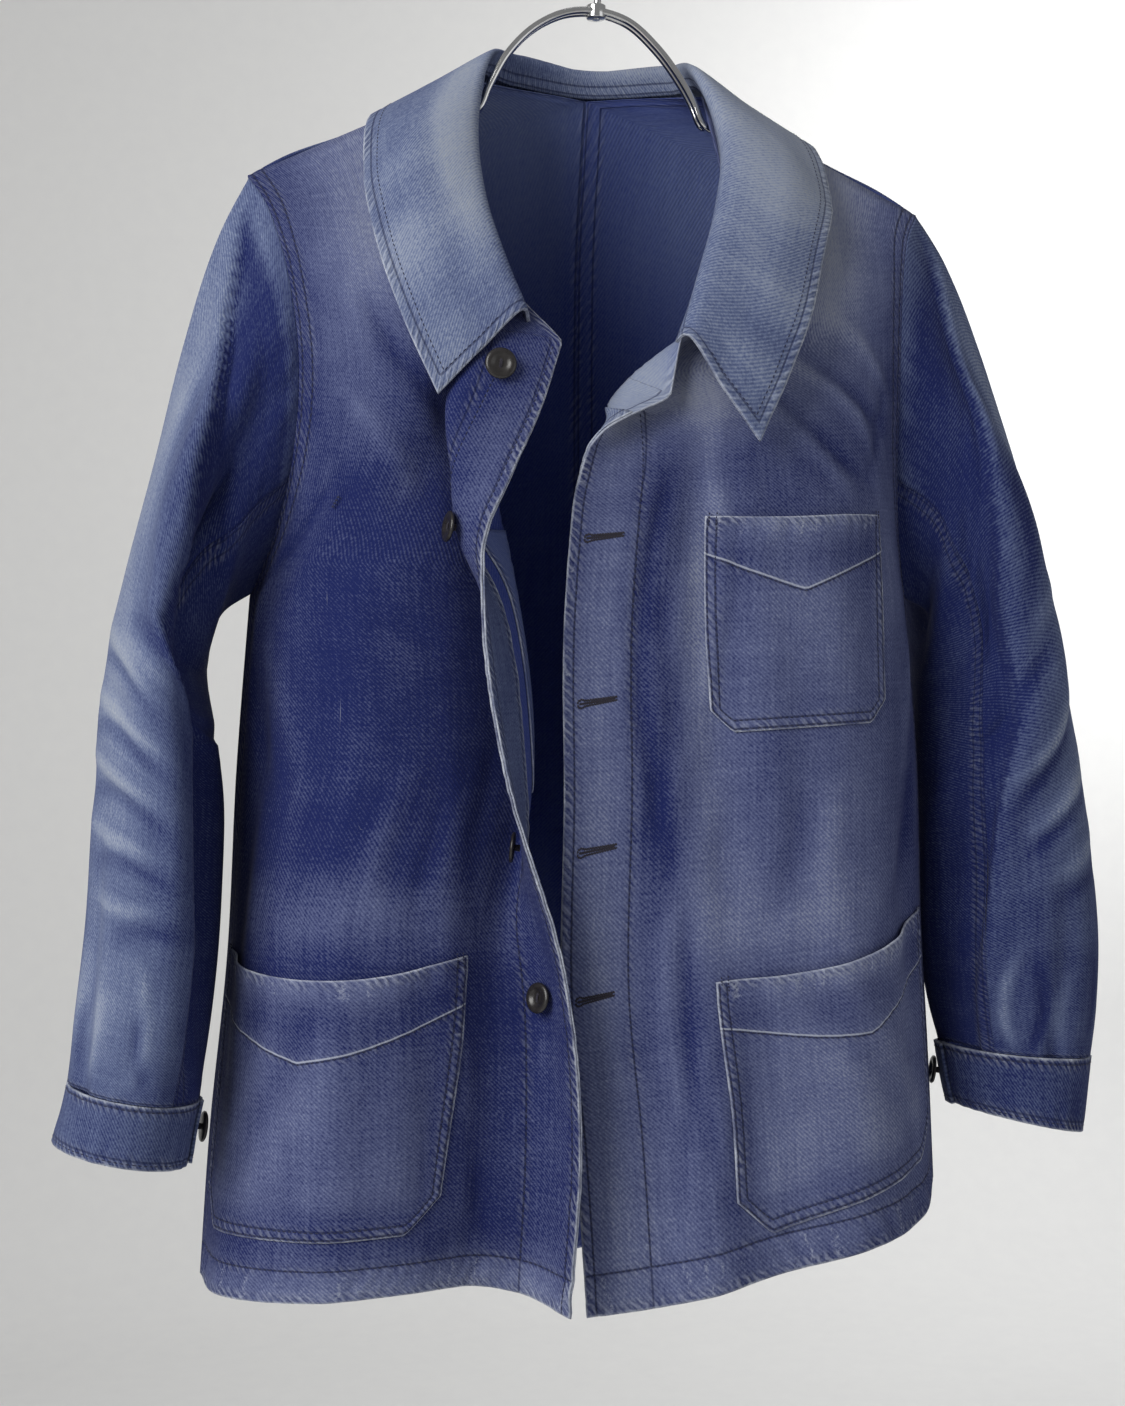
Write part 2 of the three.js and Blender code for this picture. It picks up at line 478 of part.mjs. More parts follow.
// Where body and sleeve meet, both walls take the mean of their normals, so they mitre.
function mitreArmhole(sleeve, front, back) {
  const rim = (grid, row) => grid.normals[row][sideIndex(grid)];
  sleeve.rim = steps(SLEEVE_ROUND - 1).map((_, k) => {
    const row = ROWS_BELOW + (k <= ROWS_ABOVE ? k : SLEEVE_ROUND - k);
    const grids = k % ROWS_ABOVE ? [k < ROWS_ABOVE ? front : back] : [front, back];
    const mean = sleeve.normal(sleeve.shares[k], 0);
    grids.forEach((grid) => mean.addScaledVector(rim(grid, row), 1 / grids.length));
    mean.normalize();
    grids.forEach((grid) => rim(grid, row).copy(mean));
    return mean;
  });
}
mitreShoulder(grids.rightFront, grids.rightBack);
mitreShoulder(grids.leftFront, grids.leftBack);
mitreArmhole(sleeves.right, grids.rightFront, grids.rightBack);
mitreArmhole(sleeves.left, grids.leftFront, grids.leftBack);

// Draws the rim of a grid back by half a gap, along the surface, where it meets a seam.
function drawBack(grid, { side = true, edge = false, top = true }) {
  const { points } = grid;
  const pull = (from, to) => from.add(to.clone().sub(from).normalize().multiplyScalar(GAP / 2 + 0.02));
  const last = points[0].length - 1;
  const [sideAt, edgeAt] = grid.sideFirst ? [0, last] : [last, 0];
  const inwards = (at) => (at === 0 ? 1 : last - 1);
  points.forEach((row) => {
    if (side) pull(row[sideAt], row[inwards(sideAt)]);
    if (edge) pull(row[edgeAt], row[inwards(edgeAt)]);
  });
  if (top) points.at(-1).forEach((p, i) => pull(p, points.at(-2)[i]));
  return grid;
}

drawBack(grids.rightFront, {});
drawBack(grids.leftFront, {});
drawBack(grids.rightBack, { edge: true });
drawBack(grids.leftBack, { edge: true });

const half = CLOTH / 2;
const bodyWall = (grid) => wallGeometry(grid, half, -half);
add("front_right", bodyWall(grids.rightFront), BLUE.cloth);
add("front_left", bodyWall(grids.leftFront), BLUE.cloth);
add("back_right", bodyWall(grids.rightBack), BLUE.inside);
add("back_left", bodyWall(grids.leftBack), BLUE.inside);

// Top and under sleeve: two walls of one tube, parted at the two seams.
function sleeveWall(sleeve, side, fromColumn, toColumn) {
  const vs = steps(SLEEVE_ROWS);
  const columns = [];
  for (let k = fromColumn; k <= toColumn; k += 1) columns.push(k);
  const nudge = 0.0006; // half a gap, as a share of the sleeve's girth
  const shareAt = (k) => sleeve.shares[(k + SLEEVE_ROUND) % SLEEVE_ROUND] + Math.floor(k / SLEEVE_ROUND);
  const shareOf = (k) => {
    if (k === fromColumn) return shareAt(k) + nudge;
    return k === toColumn ? shareAt(k) - nudge : shareAt(k);
  };
  const points = vs.map((v) => columns.map((k) => sleeve.at(shareOf(k), v)));
  const normals = vs.map((v, j) => columns.map((k) =>
    (j === 0 ? sleeve.rim[k % SLEEVE_ROUND].clone() : sleeve.normal(shareOf(k), v))));
  points[0].forEach((p, i) => p.add(points[1][i].clone().sub(p).normalize().multiplyScalar(GAP)));
  const turn = side === "left" ? (rows) => rows.slice().reverse() : (rows) => rows;
  return wallGeometry({ points: turn(points), normals: turn(normals) }, half, -half);
}
const underFrom = Math.round(UNDER_FROM * SLEEVE_ROUND);
const underTo = Math.round(UNDER_TO * SLEEVE_ROUND);
for (const side of ["right", "left"]) {
  add("sleeve_top_" + side, sleeveWall(sleeves[side], side, underTo - SLEEVE_ROUND, underFrom), BLUE.sleeve);
  add("sleeve_under_" + side, sleeveWall(sleeves[side], side, underFrom, underTo), BLUE.sleeve);
}

// Cuffs: a double band round each sleeve's end.
function cuffWall(rows, side) {
  const surface = sleeveSurface(rows, side, null, []);
  const vs = steps(2);
  const us = steps(SLEEVE_ROUND).slice(0, -1);
  const points = vs.map((v) => us.map((u) => surface.at(u, v)));
  const normals = vs.map((v) => us.map((u) => surface.normal(u, v)));
  const turn = side === "left" ? (list) => list.slice().reverse() : (list) => list;
  return wallGeometry({ points: turn(points), normals: turn(normals) }, CUFF / 2, -CUFF / 2, { closed: true });
}
add("cuff_right", cuffWall(RIGHT_CUFF, "right"), BLUE.sleeve);
add("cuff_left", cuffWall(LEFT_CUFF, "left"), BLUE.sleeve);

// Collar
// Each row crosses the collar: neck, where it is sewn, roll, where it turns over, fall,
// and edge. The rows go round the neck from the right front to the left front.
const COLLAR = [
  { neck: [-59, -94, 609], roll: [-61, -100, 614], fall: [-90, -103, 589], edge: [-115, -100, 563] },
  { neck: [-70, -79, 640], roll: [-73, -87, 650], fall: [-104, -94, 630], edge: [-133, -90, 606] },
  { neck: [-79, -60, 681], roll: [-81, -63, 693], fall: [-114, -73, 678], edge: [-146, -66, 655] },
  { neck: [-82, -25.5, 739], roll: [-79, -30, 751], fall: [-116, -38, 741], edge: [-151, -33, 712] },
  { neck: [-76.5, 6.6, 785], roll: [-64, 4, 798], fall: [-103, 5, 777], edge: [-141, 6, 756] },
  { neck: [-45, 39, 790], roll: [-38, 36, 807], fall: [-68, 54, 796], edge: [-98, 66, 757] },
  { neck: [10, 57, 789], roll: [12, 58, 808], fall: [12, 72, 796], edge: [12, 82, 750] },
  { neck: [65, 39, 790], roll: [60, 36, 806], fall: [90, 54, 794], edge: [117, 66, 761] },
  { neck: [77.5, 6.6, 783.2], roll: [70, 4, 796], fall: [109, 5, 775], edge: [149, 6, 753] },
  { neck: [81, -26, 732], roll: [80, -30, 746], fall: [116, -40, 734], edge: [151, -36, 708] },
  { neck: [68, -54, 682], roll: [69, -60, 694], fall: [103, -76, 678], edge: [137, -68, 668] },
  { neck: [49, -79.5, 635], roll: [50, -87, 645], fall: [84, -96, 624], edge: [115, -92, 606] },
  { neck: [33, -93, 600], roll: [35, -100, 603], fall: [60, -103, 571], edge: [84, -100, 540] },
];
const COLLAR_LAYER = 1.0; // each of the two layers
const COLLAR_PARTING = 0.65; // middle of the collar to the middle of a layer

function collarSurface() {
  const places = COLLAR.map((row) => {
    const [neck, roll, fall, edge] = ["neck", "roll", "fall", "edge"].map((key) => point(...row[key]));
    return [neck, roll, fall, edge];
  });
  const middles = places.map(([, , fall]) => fall);
  const knots = chords(middles).map((k, _, all) => k / all.at(-1));
  const columns = steps(3).map((_, i) => through(places.map((row) => row[i]), knots));
  const kept = new Map();
  const row = (u) => {
    if (!kept.has(u)) kept.set(u, measured(columns.map((column) => column(u))));
    return kept.get(u);
  };
  return surfaceOf((u, v) => row(u).at(v * row(u).length));
}
const COLLAR_ROUND = steps(26);
const COLLAR_ACROSS = [0, 0.07, 0.14, 0.22, 0.34, 0.56, 0.78, 1];
const collarGrid = gridOf(collarSurface(), COLLAR_ROUND, COLLAR_ACROSS);
for (const [name, side] of [["collar_top", 1], ["collar_under", -1]]) {
  const middle = side * COLLAR_PARTING;
  add(name, wallGeometry(collarGrid, middle + COLLAR_LAYER / 2, middle - COLLAR_LAYER / 2), BLUE.collar);
}

// Facings and pockets, made from the panels' points
const outside = (thickness) => [half + GAP + thickness, half + GAP];
const inside = (thickness, under = 0) => [-half - GAP - under, -half - GAP - under - thickness];
// The part of a front between two distances from its edge and two heights at its side.
const partOf = (grid, [from, to], [low, high]) => {
  const columns = [grid.ordered.indexOf(from), grid.ordered.indexOf(to)].sort((a, b) => a - b);
  return { rows: [grid.heights.indexOf(low), grid.heights.indexOf(high)], columns };
};
function sewn(name, grid, across, upright, faces, colour, cuts = []) {
  add(name, wallGeometry(grid, ...faces, { ...partOf(grid, across, upright), cuts }), colour);
}
const { rightFront, leftFront } = grids;
sewn("facing_right", rightFront, [0, PLACKET], [20, 612], inside(FACING), BLUE.inside);
sewn("facing_left", leftFront, [0, PLACKET], [60, 606], inside(FACING), BLUE.inside);
const twoCuts = ["first", "last"];
sewn("pocket_right", rightFront, [99, 274], [60, 229], outside(CLOTH), BLUE.cloth, twoCuts);
sewn("pocket_left", leftFront, [99, 274], [78, 236], outside(CLOTH), BLUE.cloth, twoCuts);
sewn("pocket_chest", leftFront, [84, 210], [374, 503], outside(CLOTH), BLUE.cloth, twoCuts);
sewn("pocket_inner", rightFront, [56, 195], [306, 492], inside(POCKETING), BLUE.inside, twoCuts);

// Buttons
// A dished disc on a short thread shank, whose foot stands a gap off the cloth.
const BUTTON_PROFILE = [[0, 0], [2.2, 0], [2.2, 2.6], [8.4, 3], [9.5, 4.1], [8.9, 5.4], [6.6, 5], [0, 4.7]];
function button(name, at, normal) {
  const profile = BUTTON_PROFILE.map(([r, z]) => new THREE.Vector2((r * BUTTON_RADIUS) / 9.5, z));
  const geometry = new THREE.LatheGeometry(profile, 14);
  geometry.applyQuaternion(new THREE.Quaternion().setFromUnitVectors(point(0, 1, 0), normal));
  geometry.translate(at.x, at.y, at.z);
  add(name, geometry, 0x1d1b19, 0.45);
}
const BUTTON_INSETS = [28, 28, 28, 28, 42]; // front edge to a button's middle: columns of the grid
const BUTTON_STAND = 0.9; // so that a flat foot clears a bent cloth
const BUTTON_HEIGHTS = [203, 294, 384, 492, 612]; // rows of the grid, from the hem up
BUTTON_HEIGHTS.forEach((height, i) => {
  const row = RIGHT_HEIGHTS.indexOf(height);
  const column = rightFront.ordered.indexOf(BUTTON_INSETS[i]);
  const normal = rightFront.normals[row][column];
  button("button_" + (i + 1), rightFront.points[row][column].clone().addScaledVector(normal, half + BUTTON_STAND), normal);
});
for (const [side, rows, around] of [["right", RIGHT_CUFF, 0.97], ["left", LEFT_CUFF, 0.97]]) {
  const surface = sleeveSurface(rows, side, null, []);
  const normal = surface.normal(around, 0.45);
  button("cuff_button_" + side, surface.at(around, 0.45).addScaledVector(normal, CUFF / 2 + GAP), normal);
}

// Hanger
// Two rods run side by side from one shoulder over an arch at the neck to the other. Under
// the shoulders they follow the cloth's inside, moved in, and each end is a round turn.
const ARCH = [
  { x: -74, h: 761 }, { x: -67, h: 776 }, { x: -54, h: 799 }, { x: -36, h: 817 }, { x: -16, h: 827 }, { x: 4, h: 829 },
  { x: 24, h: 824 }, { x: 44, h: 808 }, { x: 60, h: 788 }, { x: 69, h: 773 }, { x: 75, h: 760 },
];
const ROD_PARTING = 3.2; // middle of the hanger to the middle of a rod, at the arch
const ARM_REACH = 7; // shoulder seam to the cloth above each rod, front to back
const ARM_SHARES = [0.06, 0.2, 0.36, 0.52, 0.68, 0.84]; // from the shoulder's end towards the neck

function armPoints(panel) {
  const clear = half + ROD_RADIUS + 2.6;
  return ARM_SHARES.map((share) => {
    const u = panel.flip ? 1 - share : share;
    const seam = panel.at(u, 1);
    let v = 1;
    while (v > 0.9 && Math.abs(panel.at(u, v).y - seam.y) < ARM_REACH) v -= 0.002;
    return panel.at(u, v).addScaledVector(panel.normal(u, v), -clear);
  });
}
function tube(path, radius, count, sides = 8) {
  const curve = new THREE.CatmullRomCurve3(path, false, "centripetal");
  const outline = new THREE.Shape(steps(sides).slice(0, -1).map((s) =>
    new THREE.Vector2(radius * Math.cos(2 * Math.PI * s), radius * Math.sin(2 * Math.PI * s))));
  return new THREE.ExtrudeGeometry(outline, { steps: count, extrudePath: curve, bevelEnabled: false });
}
function solidOf(geometry) {
  const bare = geometry.clone();
  bare.deleteAttribute("normal");
  bare.deleteAttribute("uv");
  const merged = mergeVertices(bare, 1e-3);
  return new wasm.Manifold(new wasm.Mesh({
    numProp: 3,
    vertProperties: merged.attributes.position.array,
    triVerts: new Uint32Array(merged.index.array),
  }));
}
function geometryOf(solid) {
  const mesh = solid.getMesh();
  const geometry = new THREE.BufferGeometry();
  geometry.setAttribute("position", new THREE.BufferAttribute(new Float32Array(mesh.vertProperties), 3));
  geometry.setIndex(new THREE.BufferAttribute(new Uint32Array(mesh.triVerts), 1));
  geometry.computeVertexNormals();
  return geometry;
}
function hangerGeometry() {
  const arms = {
    rightFront: armPoints(panels.rightFront),
    rightBack: armPoints(panels.rightBack),
    leftFront: armPoints(panels.leftFront),
    leftBack: armPoints(panels.leftBack),
  };
  const arch = (y) => ARCH.map(({ x, h }) => point(x, y, h));
  const frontRod = [...arms.rightFront, ...arch(-ROD_PARTING), ...arms.leftFront.slice().reverse()];
  const backRod = [...arms.rightBack, ...arch(ROD_PARTING), ...arms.leftBack.slice().reverse()];
  const turn = (front, back, out) => {
    const middle = front.clone().lerp(back, 0.5).add(point(out, 0, -2));
    return [front, front.clone().lerp(middle, 0.6).add(point(out * 0.25, 0, 0)), middle,
      back.clone().lerp(middle, 0.6).add(point(out * 0.25, 0, 0)), back];
  };
  const hookTop = RAIL_HEIGHT + ROD_RADIUS * 1.15;
  const hookRadius = 22;
  const middle = 4;
  const turns = steps(9, Math.PI * 1.06, -Math.PI * 0.12);
  const hook = [point(middle, 0, 824), point(middle, 0, 846), point(middle - 9, 0, 858),
    ...turns.map((a) => point(hookRadius * Math.cos(a), 0, hookTop - hookRadius + hookRadius * Math.sin(a)))];
  return geometryOf([
    tube(frontRod, ROD_RADIUS, 62),
    tube(backRod, ROD_RADIUS, 62),
    tube(turn(frontRod[0], backRod[0], -8), ROD_RADIUS, 8),
    tube(turn(frontRod.at(-1), backRod.at(-1), 8), ROD_RADIUS, 8),
    tube(hook, ROD_RADIUS, 30),
    new THREE.CylinderGeometry(6.4, 6.4, 9, 16).rotateX(Math.PI / 2).rotateX(Math.PI / 2).translate(middle, 0, 829),
  ].map(solidOf).reduce((sum, solid) => sum.add(solid)));
}
add("hanger", hangerGeometry(), 0xc9cacd, 0.15, 1);

export default jacket;
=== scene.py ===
"""Looks of a cotton drill chore jacket on a wire hanger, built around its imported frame.

Lengths in the tables are millimetres, as a cutter works: x to the wearer's left, y to the
back and heights from the hem line. shown() turns them to metres in the frame, whose origin
is where the hook bears on its rail. Right and left are the wearer's.
"""

import math

import bmesh
import bpy
import numpy as np
from bpy.props import FloatProperty, FloatVectorProperty, PointerProperty
from mathutils import Matrix, Vector


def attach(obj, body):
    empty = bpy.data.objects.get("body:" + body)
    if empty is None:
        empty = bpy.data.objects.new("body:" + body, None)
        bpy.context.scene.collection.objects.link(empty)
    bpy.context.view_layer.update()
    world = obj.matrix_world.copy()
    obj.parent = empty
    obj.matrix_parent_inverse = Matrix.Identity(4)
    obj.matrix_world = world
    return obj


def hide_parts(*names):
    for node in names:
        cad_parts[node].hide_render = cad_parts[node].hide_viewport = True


bl_info = {
    "name": "Chore Jacket",
    "version": (1, 0, 0),
    "blender": (4, 5, 0),
    "location": "3D View > Sidebar > Jacket",
    "description": "A worn cotton drill chore jacket, open at the front, on a wire hanger",
    "category": "Object",
}

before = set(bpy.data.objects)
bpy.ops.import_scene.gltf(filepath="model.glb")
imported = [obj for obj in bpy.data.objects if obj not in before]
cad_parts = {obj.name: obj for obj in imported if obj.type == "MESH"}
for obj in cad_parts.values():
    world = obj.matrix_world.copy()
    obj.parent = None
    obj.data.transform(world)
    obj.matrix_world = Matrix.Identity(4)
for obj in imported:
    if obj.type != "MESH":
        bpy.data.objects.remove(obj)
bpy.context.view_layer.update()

MM = 0.001
RAIL_HEIGHT = 902.0  # hem line to the rail
CLOTH = 1.2  # one layer of drill
FACING = 1.0
POCKETING = 0.9
CUFF = 2.2  # a cuff, folded double
GAP = 0.3  # between pieces that lie on each other
ARMPIT_ROW = 4
CORNER_ROW = 8
NECK_ROW = 9
FRONT_WIDTH = 298.0  # nominal width of a front, from its edge
FIRM = 210.0  # the part of that width that keeps its distance from the edge
BACK_WIDTH = 262.0  # nominal width of a half back
PLACKET = 42.0  # front edge to the stitching of the facing
ROD_RADIUS = 2.4
STEP = 0.004  # of a surface's length, for its normals
PHOTO = (1125, 1406)

# Each row is a section of a panel: its height at the side, its height at the edge, and the
# [x, y] where it passes, with a third number where it rides above the line between the two.
RIGHT_FRONT = [
    (20, 11, [(-249, 14), (-241, -44, 3), (-190, -90, 9), (-126, -88, 12), (-82, -68, 10), (-58, -71, 6), (-36, -102)]),
    (110, 109, [(-243, 14), (-230, -44), (-184, -90), (-119, -88), (-76, -69), (-52, -73), (-29, -102)]),
    (220, 217, [(-232, 14), (-222, -42), (-174, -86), (-113, -88), (-69, -68), (-52, -75), (-40, -106)]),
    (340, 338, [(-226, 14), (-210, -38), (-164, -80), (-108, -82), (-51, -62), (-70, -98), (-78, -118)]),
    (448, 440, [(-218, 10), (-202, -36), (-160, -76), (-110, -78), (-60, -60), (-86, -98), (-92, -120)]),
    (482, 474, [(-206, -18), (-188, -48), (-150, -74), (-108, -76), (-66, -58), (-101, -98), (-91, -120)]),
    (530, 514, [(-196, -39), (-180, -54), (-146, -72), (-112, -74), (-74, -52), (-106, -100), (-74, -117)]),
    (586, 558, [(-192, -42), (-174, -54), (-143, -70), (-116, -74), (-88, -54), (-108, -97), (-53, -108)]),
    (634, 597, [(-196, -36), (-176, -50), (-145, -64), (-118, -71), (-98, -58), (-92, -90), (-39, -98)]),
    (670, 646, [(-203, -24), (-180, -36), (-155, -47), (-132, -56), (-113, -62), (-94, -68), (-72, -74)]),
    (697, 716, [(-212, -9), (-187, -14), (-163, -19), (-141, -24), (-120, -29), (-100, -33), (-82, -37)]),
    (712, 782, [(-220, 4), (-196, 4.4), (-172, 4.8), (-148, 5.2), (-124, 5.6), (-100, 6), (-76, 6.4)]),
]
LEFT_FRONT = [
    (60, 0, [(238, 4), (214, -42, -4), (160, -82, -4), (106, -78, -6), (60, -84, -6), (26, -74, -4), (-17, -66)]),
    (136, 96, [(233, 0), (209, -44), (156, -84), (102, -82), (56, -88), (20, -76), (-24, -68)]),
    (236, 198, [(226, -4), (204, -46), (152, -84), (98, -84), (50, -88), (10, -78), (-34, -70)]),
    (340, 318, [(224, -2), (202, -44), (150, -80), (96, -84), (46, -84), (8, -84), (-34, -78)]),
    (450, 436, [(219, 8), (196, -40), (146, -76), (94, -82), (44, -82), (8, -86), (-34, -80)]),
    (484, 476, [(210, -6), (190, -42), (144, -74), (92, -82), (44, -82), (8, -88), (-32, -84)]),
    (530, 512, [(204, -18), (184, -44), (140, -70), (90, -82), (46, -84), (6, -88), (-28, -88)]),
    (584, 544, [(203, -25), (182, -44), (138, -66), (94, -78), (52, -84), (-6, -84), (-14, -98)]),
    (630, 566, [(204, -26), (183, -40), (142, -58), (102, -70), (58, -78), (5, -79), (28, -98)]),
    (666, 630, [(208, -20), (186, -32), (156, -46), (126, -56), (98, -64), (70, -72), (46, -78)]),
    (694, 706, [(216, -9), (190, -14), (166, -19), (144, -25), (122, -31), (100, -36), (79, -41)]),
    (708, 780, [(226, 4), (201, 4.4), (176, 4.8), (151, 5.2), (127, 5.6), (102, 6), (77, 6.4)]),
]
RIGHT_BACK = [
    (20, 0, [(-249, 14), (-233, 60), (-182, 92), (-126, 104), (-58, 92), (10, 98)]),
    (110, 108, [(-243, 14), (-226, 56), (-180, 88), (-122, 100), (-56, 90), (10, 95)]),
    (220, 220, [(-232, 14), (-222, 52), (-176, 82), (-118, 94), (-54, 86), (10, 90)]),
    (340, 344, [(-226, 14), (-216, 48), (-172, 76), (-116, 86), (-54, 83), (10, 86)]),
    (448, 456, [(-218, 10), (-208, 42), (-168, 70), (-114, 81), (-54, 82), (10, 86)]),
    (482, 500, [(-209, 26), (-194, 49), (-160, 70), (-110, 82), (-52, 84), (10, 87)]),
    (530, 562, [(-203, 42), (-186, 58), (-154, 74), (-106, 84), (-50, 86), (10, 88)]),
    (586, 630, [(-203, 49), (-184, 62), (-152, 76), (-104, 84), (-48, 86), (10, 87)]),
    (634, 702, [(-206, 46), (-188, 56), (-156, 68), (-108, 77), (-50, 80), (10, 80)]),
    (670, 787, [(-210, 36), (-194, 43), (-164, 51), (-118, 57), (-56, 58), (10, 56)]),
    (697, 788, [(-216, 19), (-198, 22), (-170, 26), (-132, 30), (-86, 34), (-46, 38)]),
    (712, 782, [(-220, 4), (-196, 4.4), (-162, 5), (-130, 5.5), (-100, 6), (-76, 6.4)]),
]
LEFT_BACK = [
    (60, 0, [(238, 4), (236, 58, -8), (190, 94, -6), (138, 104), (76, 94), (10, 98)]),
    (136, 108, [(233, 0), (232, 54), (186, 90), (134, 100), (74, 92), (10, 95)]),
    (236, 220, [(226, -4), (228, 48), (182, 84), (130, 92), (72, 88), (10, 90)]),
    (340, 344, [(224, -2), (224, 42), (180, 76), (128, 86), (72, 84), (10, 86)]),
    (450, 456, [(219, 8), (214, 44), (176, 72), (126, 82), (70, 84), (10, 86)]),
    (484, 500, [(212, 28), (198, 52), (168, 72), (122, 83), (70, 85), (10, 87)]),
    (530, 562, [(207, 45), (190, 60), (162, 74), (120, 84), (68, 87), (10, 88)]),
    (584, 630, [(208, 51), (189, 63), (160, 76), (118, 84), (68, 87), (10, 87)]),
    (630, 702, [(211, 47), (192, 57), (164, 68), (122, 77), (70, 80), (10, 80)]),
    (666, 787, [(215, 36), (199, 43), (172, 51), (130, 57), (74, 58), (10, 56)]),
    (694, 788, [(221, 19), (204, 22), (178, 26), (146, 30), (104, 34), (66, 38)]),
    (708, 780, [(226, 4), (201, 4.4), (168, 5), (136, 5.5), (104, 6), (77, 6.4)]),
]

# The main folds, as the frame has them: from, to, width, stretch, lift. Across runs from the
# side to the edge and up from hem to shoulder, both from 0 to 1.
MAIN_FOLDS = {
    "front_right": [
        ((0.1, 0.2), (0.14, 0.62), 0.05, 0.5, -4),
        ((0.46, 0.0), (0.4, 0.4), 0.06, 0.5, 4),
        ((0.3, 0.66), (0.5, 0.86), 0.06, 0.8, -4),
        ((0.66, 0.02), (0.62, 0.3), 0.05, 0.5, -4),
    ],
    "front_left": [
        ((0.64, 0.12), (0.7, 0.78), 0.05, 0.5, -4),
        ((0.52, 0.2), (0.58, 0.68), 0.05, 0.5, 3),
        ((0.22, 0.05), (0.16, 0.55), 0.05, 0.5, -4),
        ((0.74, 0.03), (0.66, 0.26), 0.05, 0.5, 4),
    ],
    "back_right": [
        ((0.34, 0.05), (0.4, 0.6), 0.08, 0.5, 5),
        ((0.64, 0.0), (0.6, 0.48), 0.07, 0.5, -6),
        ((0.1, 0.58), (0.5, 0.8), 0.08, 0.8, -3),
    ],
    "back_left": [
        ((0.38, 0.02), (0.32, 0.56), 0.08, 0.5, 5),
        ((0.68, 0.04), (0.64, 0.5), 0.07, 0.5, -6),
        ((0.12, 0.6), (0.48, 0.78), 0.08, 0.8, -3),
    ],
}

# Sleeves: share of the length, outer [x, height], inner [x, height], middle y and depth.
RIGHT_SLEEVE = [
    (0, (-220, 712), (-218, 448), 2, 46),
    (0.09, (-243, 662), (-236, 436), 2, 58),
    (0.18, (-260, 604), (-243, 420), 2, 66),
    (0.29, (-277, 532), (-245, 396), 2, 70),
    (0.4, (-295, 462), (-241, 364), 0, 71),
    (0.52, (-309, 398), (-236, 322), -4, 70),
    (0.66, (-315, 318), (-237, 268), -14, 66),
    (0.79, (-319, 248), (-241, 216), -26, 60),
    (0.9, (-325, 194), (-247, 172), -36, 55),
    (1, (-329, 154), (-253, 141), -42, 50),
]
LEFT_SLEEVE = [
    (0, (226, 708), (219, 450), 4, 47),
    (0.09, (252, 670), (238, 440), 8, 58),
    (0.18, (274, 622), (238, 424), 12, 64),
    (0.29, (298, 552), (235, 400), 16, 66),
    (0.4, (320, 476), (234, 368), 18, 66),
    (0.52, (338, 392), (234, 324), 18, 64),
    (0.66, (350, 300), (235, 268), 14, 60),
    (0.79, (355, 226), (234, 216), 8, 55),
    (0.9, (352, 176), (238, 180), 4, 50),
    (1, (346, 142), (244, 152), 0, 46),
]
RIGHT_CUFF = [
    (0, (-329.1, 153.5), (-253.1, 140.5), -42, 50),
    (0.5, (-333, 136), (-257, 121), -43, 49),
    (1, (-338, 119), (-260, 103), -44, 48),
]
LEFT_CUFF = [
    (0, (345.9, 141.5), (244.1, 151.5), 0, 46),
    (0.5, (343, 116), (248, 130), 0, 45),
    (1, (339, 91), (252, 111), -1, 44),
]
# Round the sleeve from the armpit by the front, and along it from the armhole; the last
# value is 1 for a pleat that stays open at its end.
SLEEVE_FOLDS = {
    "right": [
        ((0.33, 0.02), (0.3, 0.42), 0.05, 0.25, 13, 0),
        ((0.22, 0.08), (0.19, 0.42), 0.06, 0.25, -13, 0),
        ((0.24, 0.4), (0.2, 0.86), 0.045, 0.25, 8, 0),
        ((0.13, 0.42), (0.12, 0.8), 0.045, 0.25, -11, 0),
        ((0.7, 0.04), (0.76, 0.4), 0.05, 0.25, -11, 0),
        ((0.62, 0.05), (0.64, 0.5), 0.06, 0.25, 6, 0),
        ((0.28, 0.56), (0.5, 0.52), 0.045, 1.2, -3.5, 0),
        ((0.26, 0.66), (0.5, 0.63), 0.045, 1.2, -3.5, 0),
        ((0.42, 0.8), (0.4, 1), 0.03, 0.25, -4, 1),
    ],
    "left": [
        ((0.4, 0.02), (0.42, 0.5), 0.06, 0.25, -7, 0),
        ((0.27, 0.1), (0.33, 0.46), 0.06, 0.25, 9, 0),
        ((0.17, 0.2), (0.2, 0.46), 0.05, 0.25, -10, 0),
        ((0.14, 0.6), (0.33, 0.48), 0.05, 0.9, 6, 0),
        ((0.24, 0.62), (0.42, 0.52), 0.045, 1, -5, 0),
        ((0.7, 0.04), (0.76, 0.42), 0.05, 0.25, -11, 0),
        ((0.6, 0.1), (0.64, 0.6), 0.06, 0.25, 5, 0),
        ((0.3, 0.82), (0.28, 1), 0.03, 0.25, -4, 1),
    ],
}
UNDER_SEAMS = (0.15, 0.85)  # the top sleeve runs from the first to the second
SLEEVE_GIRTH = 330.0
SLEEVE_LENGTH = 600.0

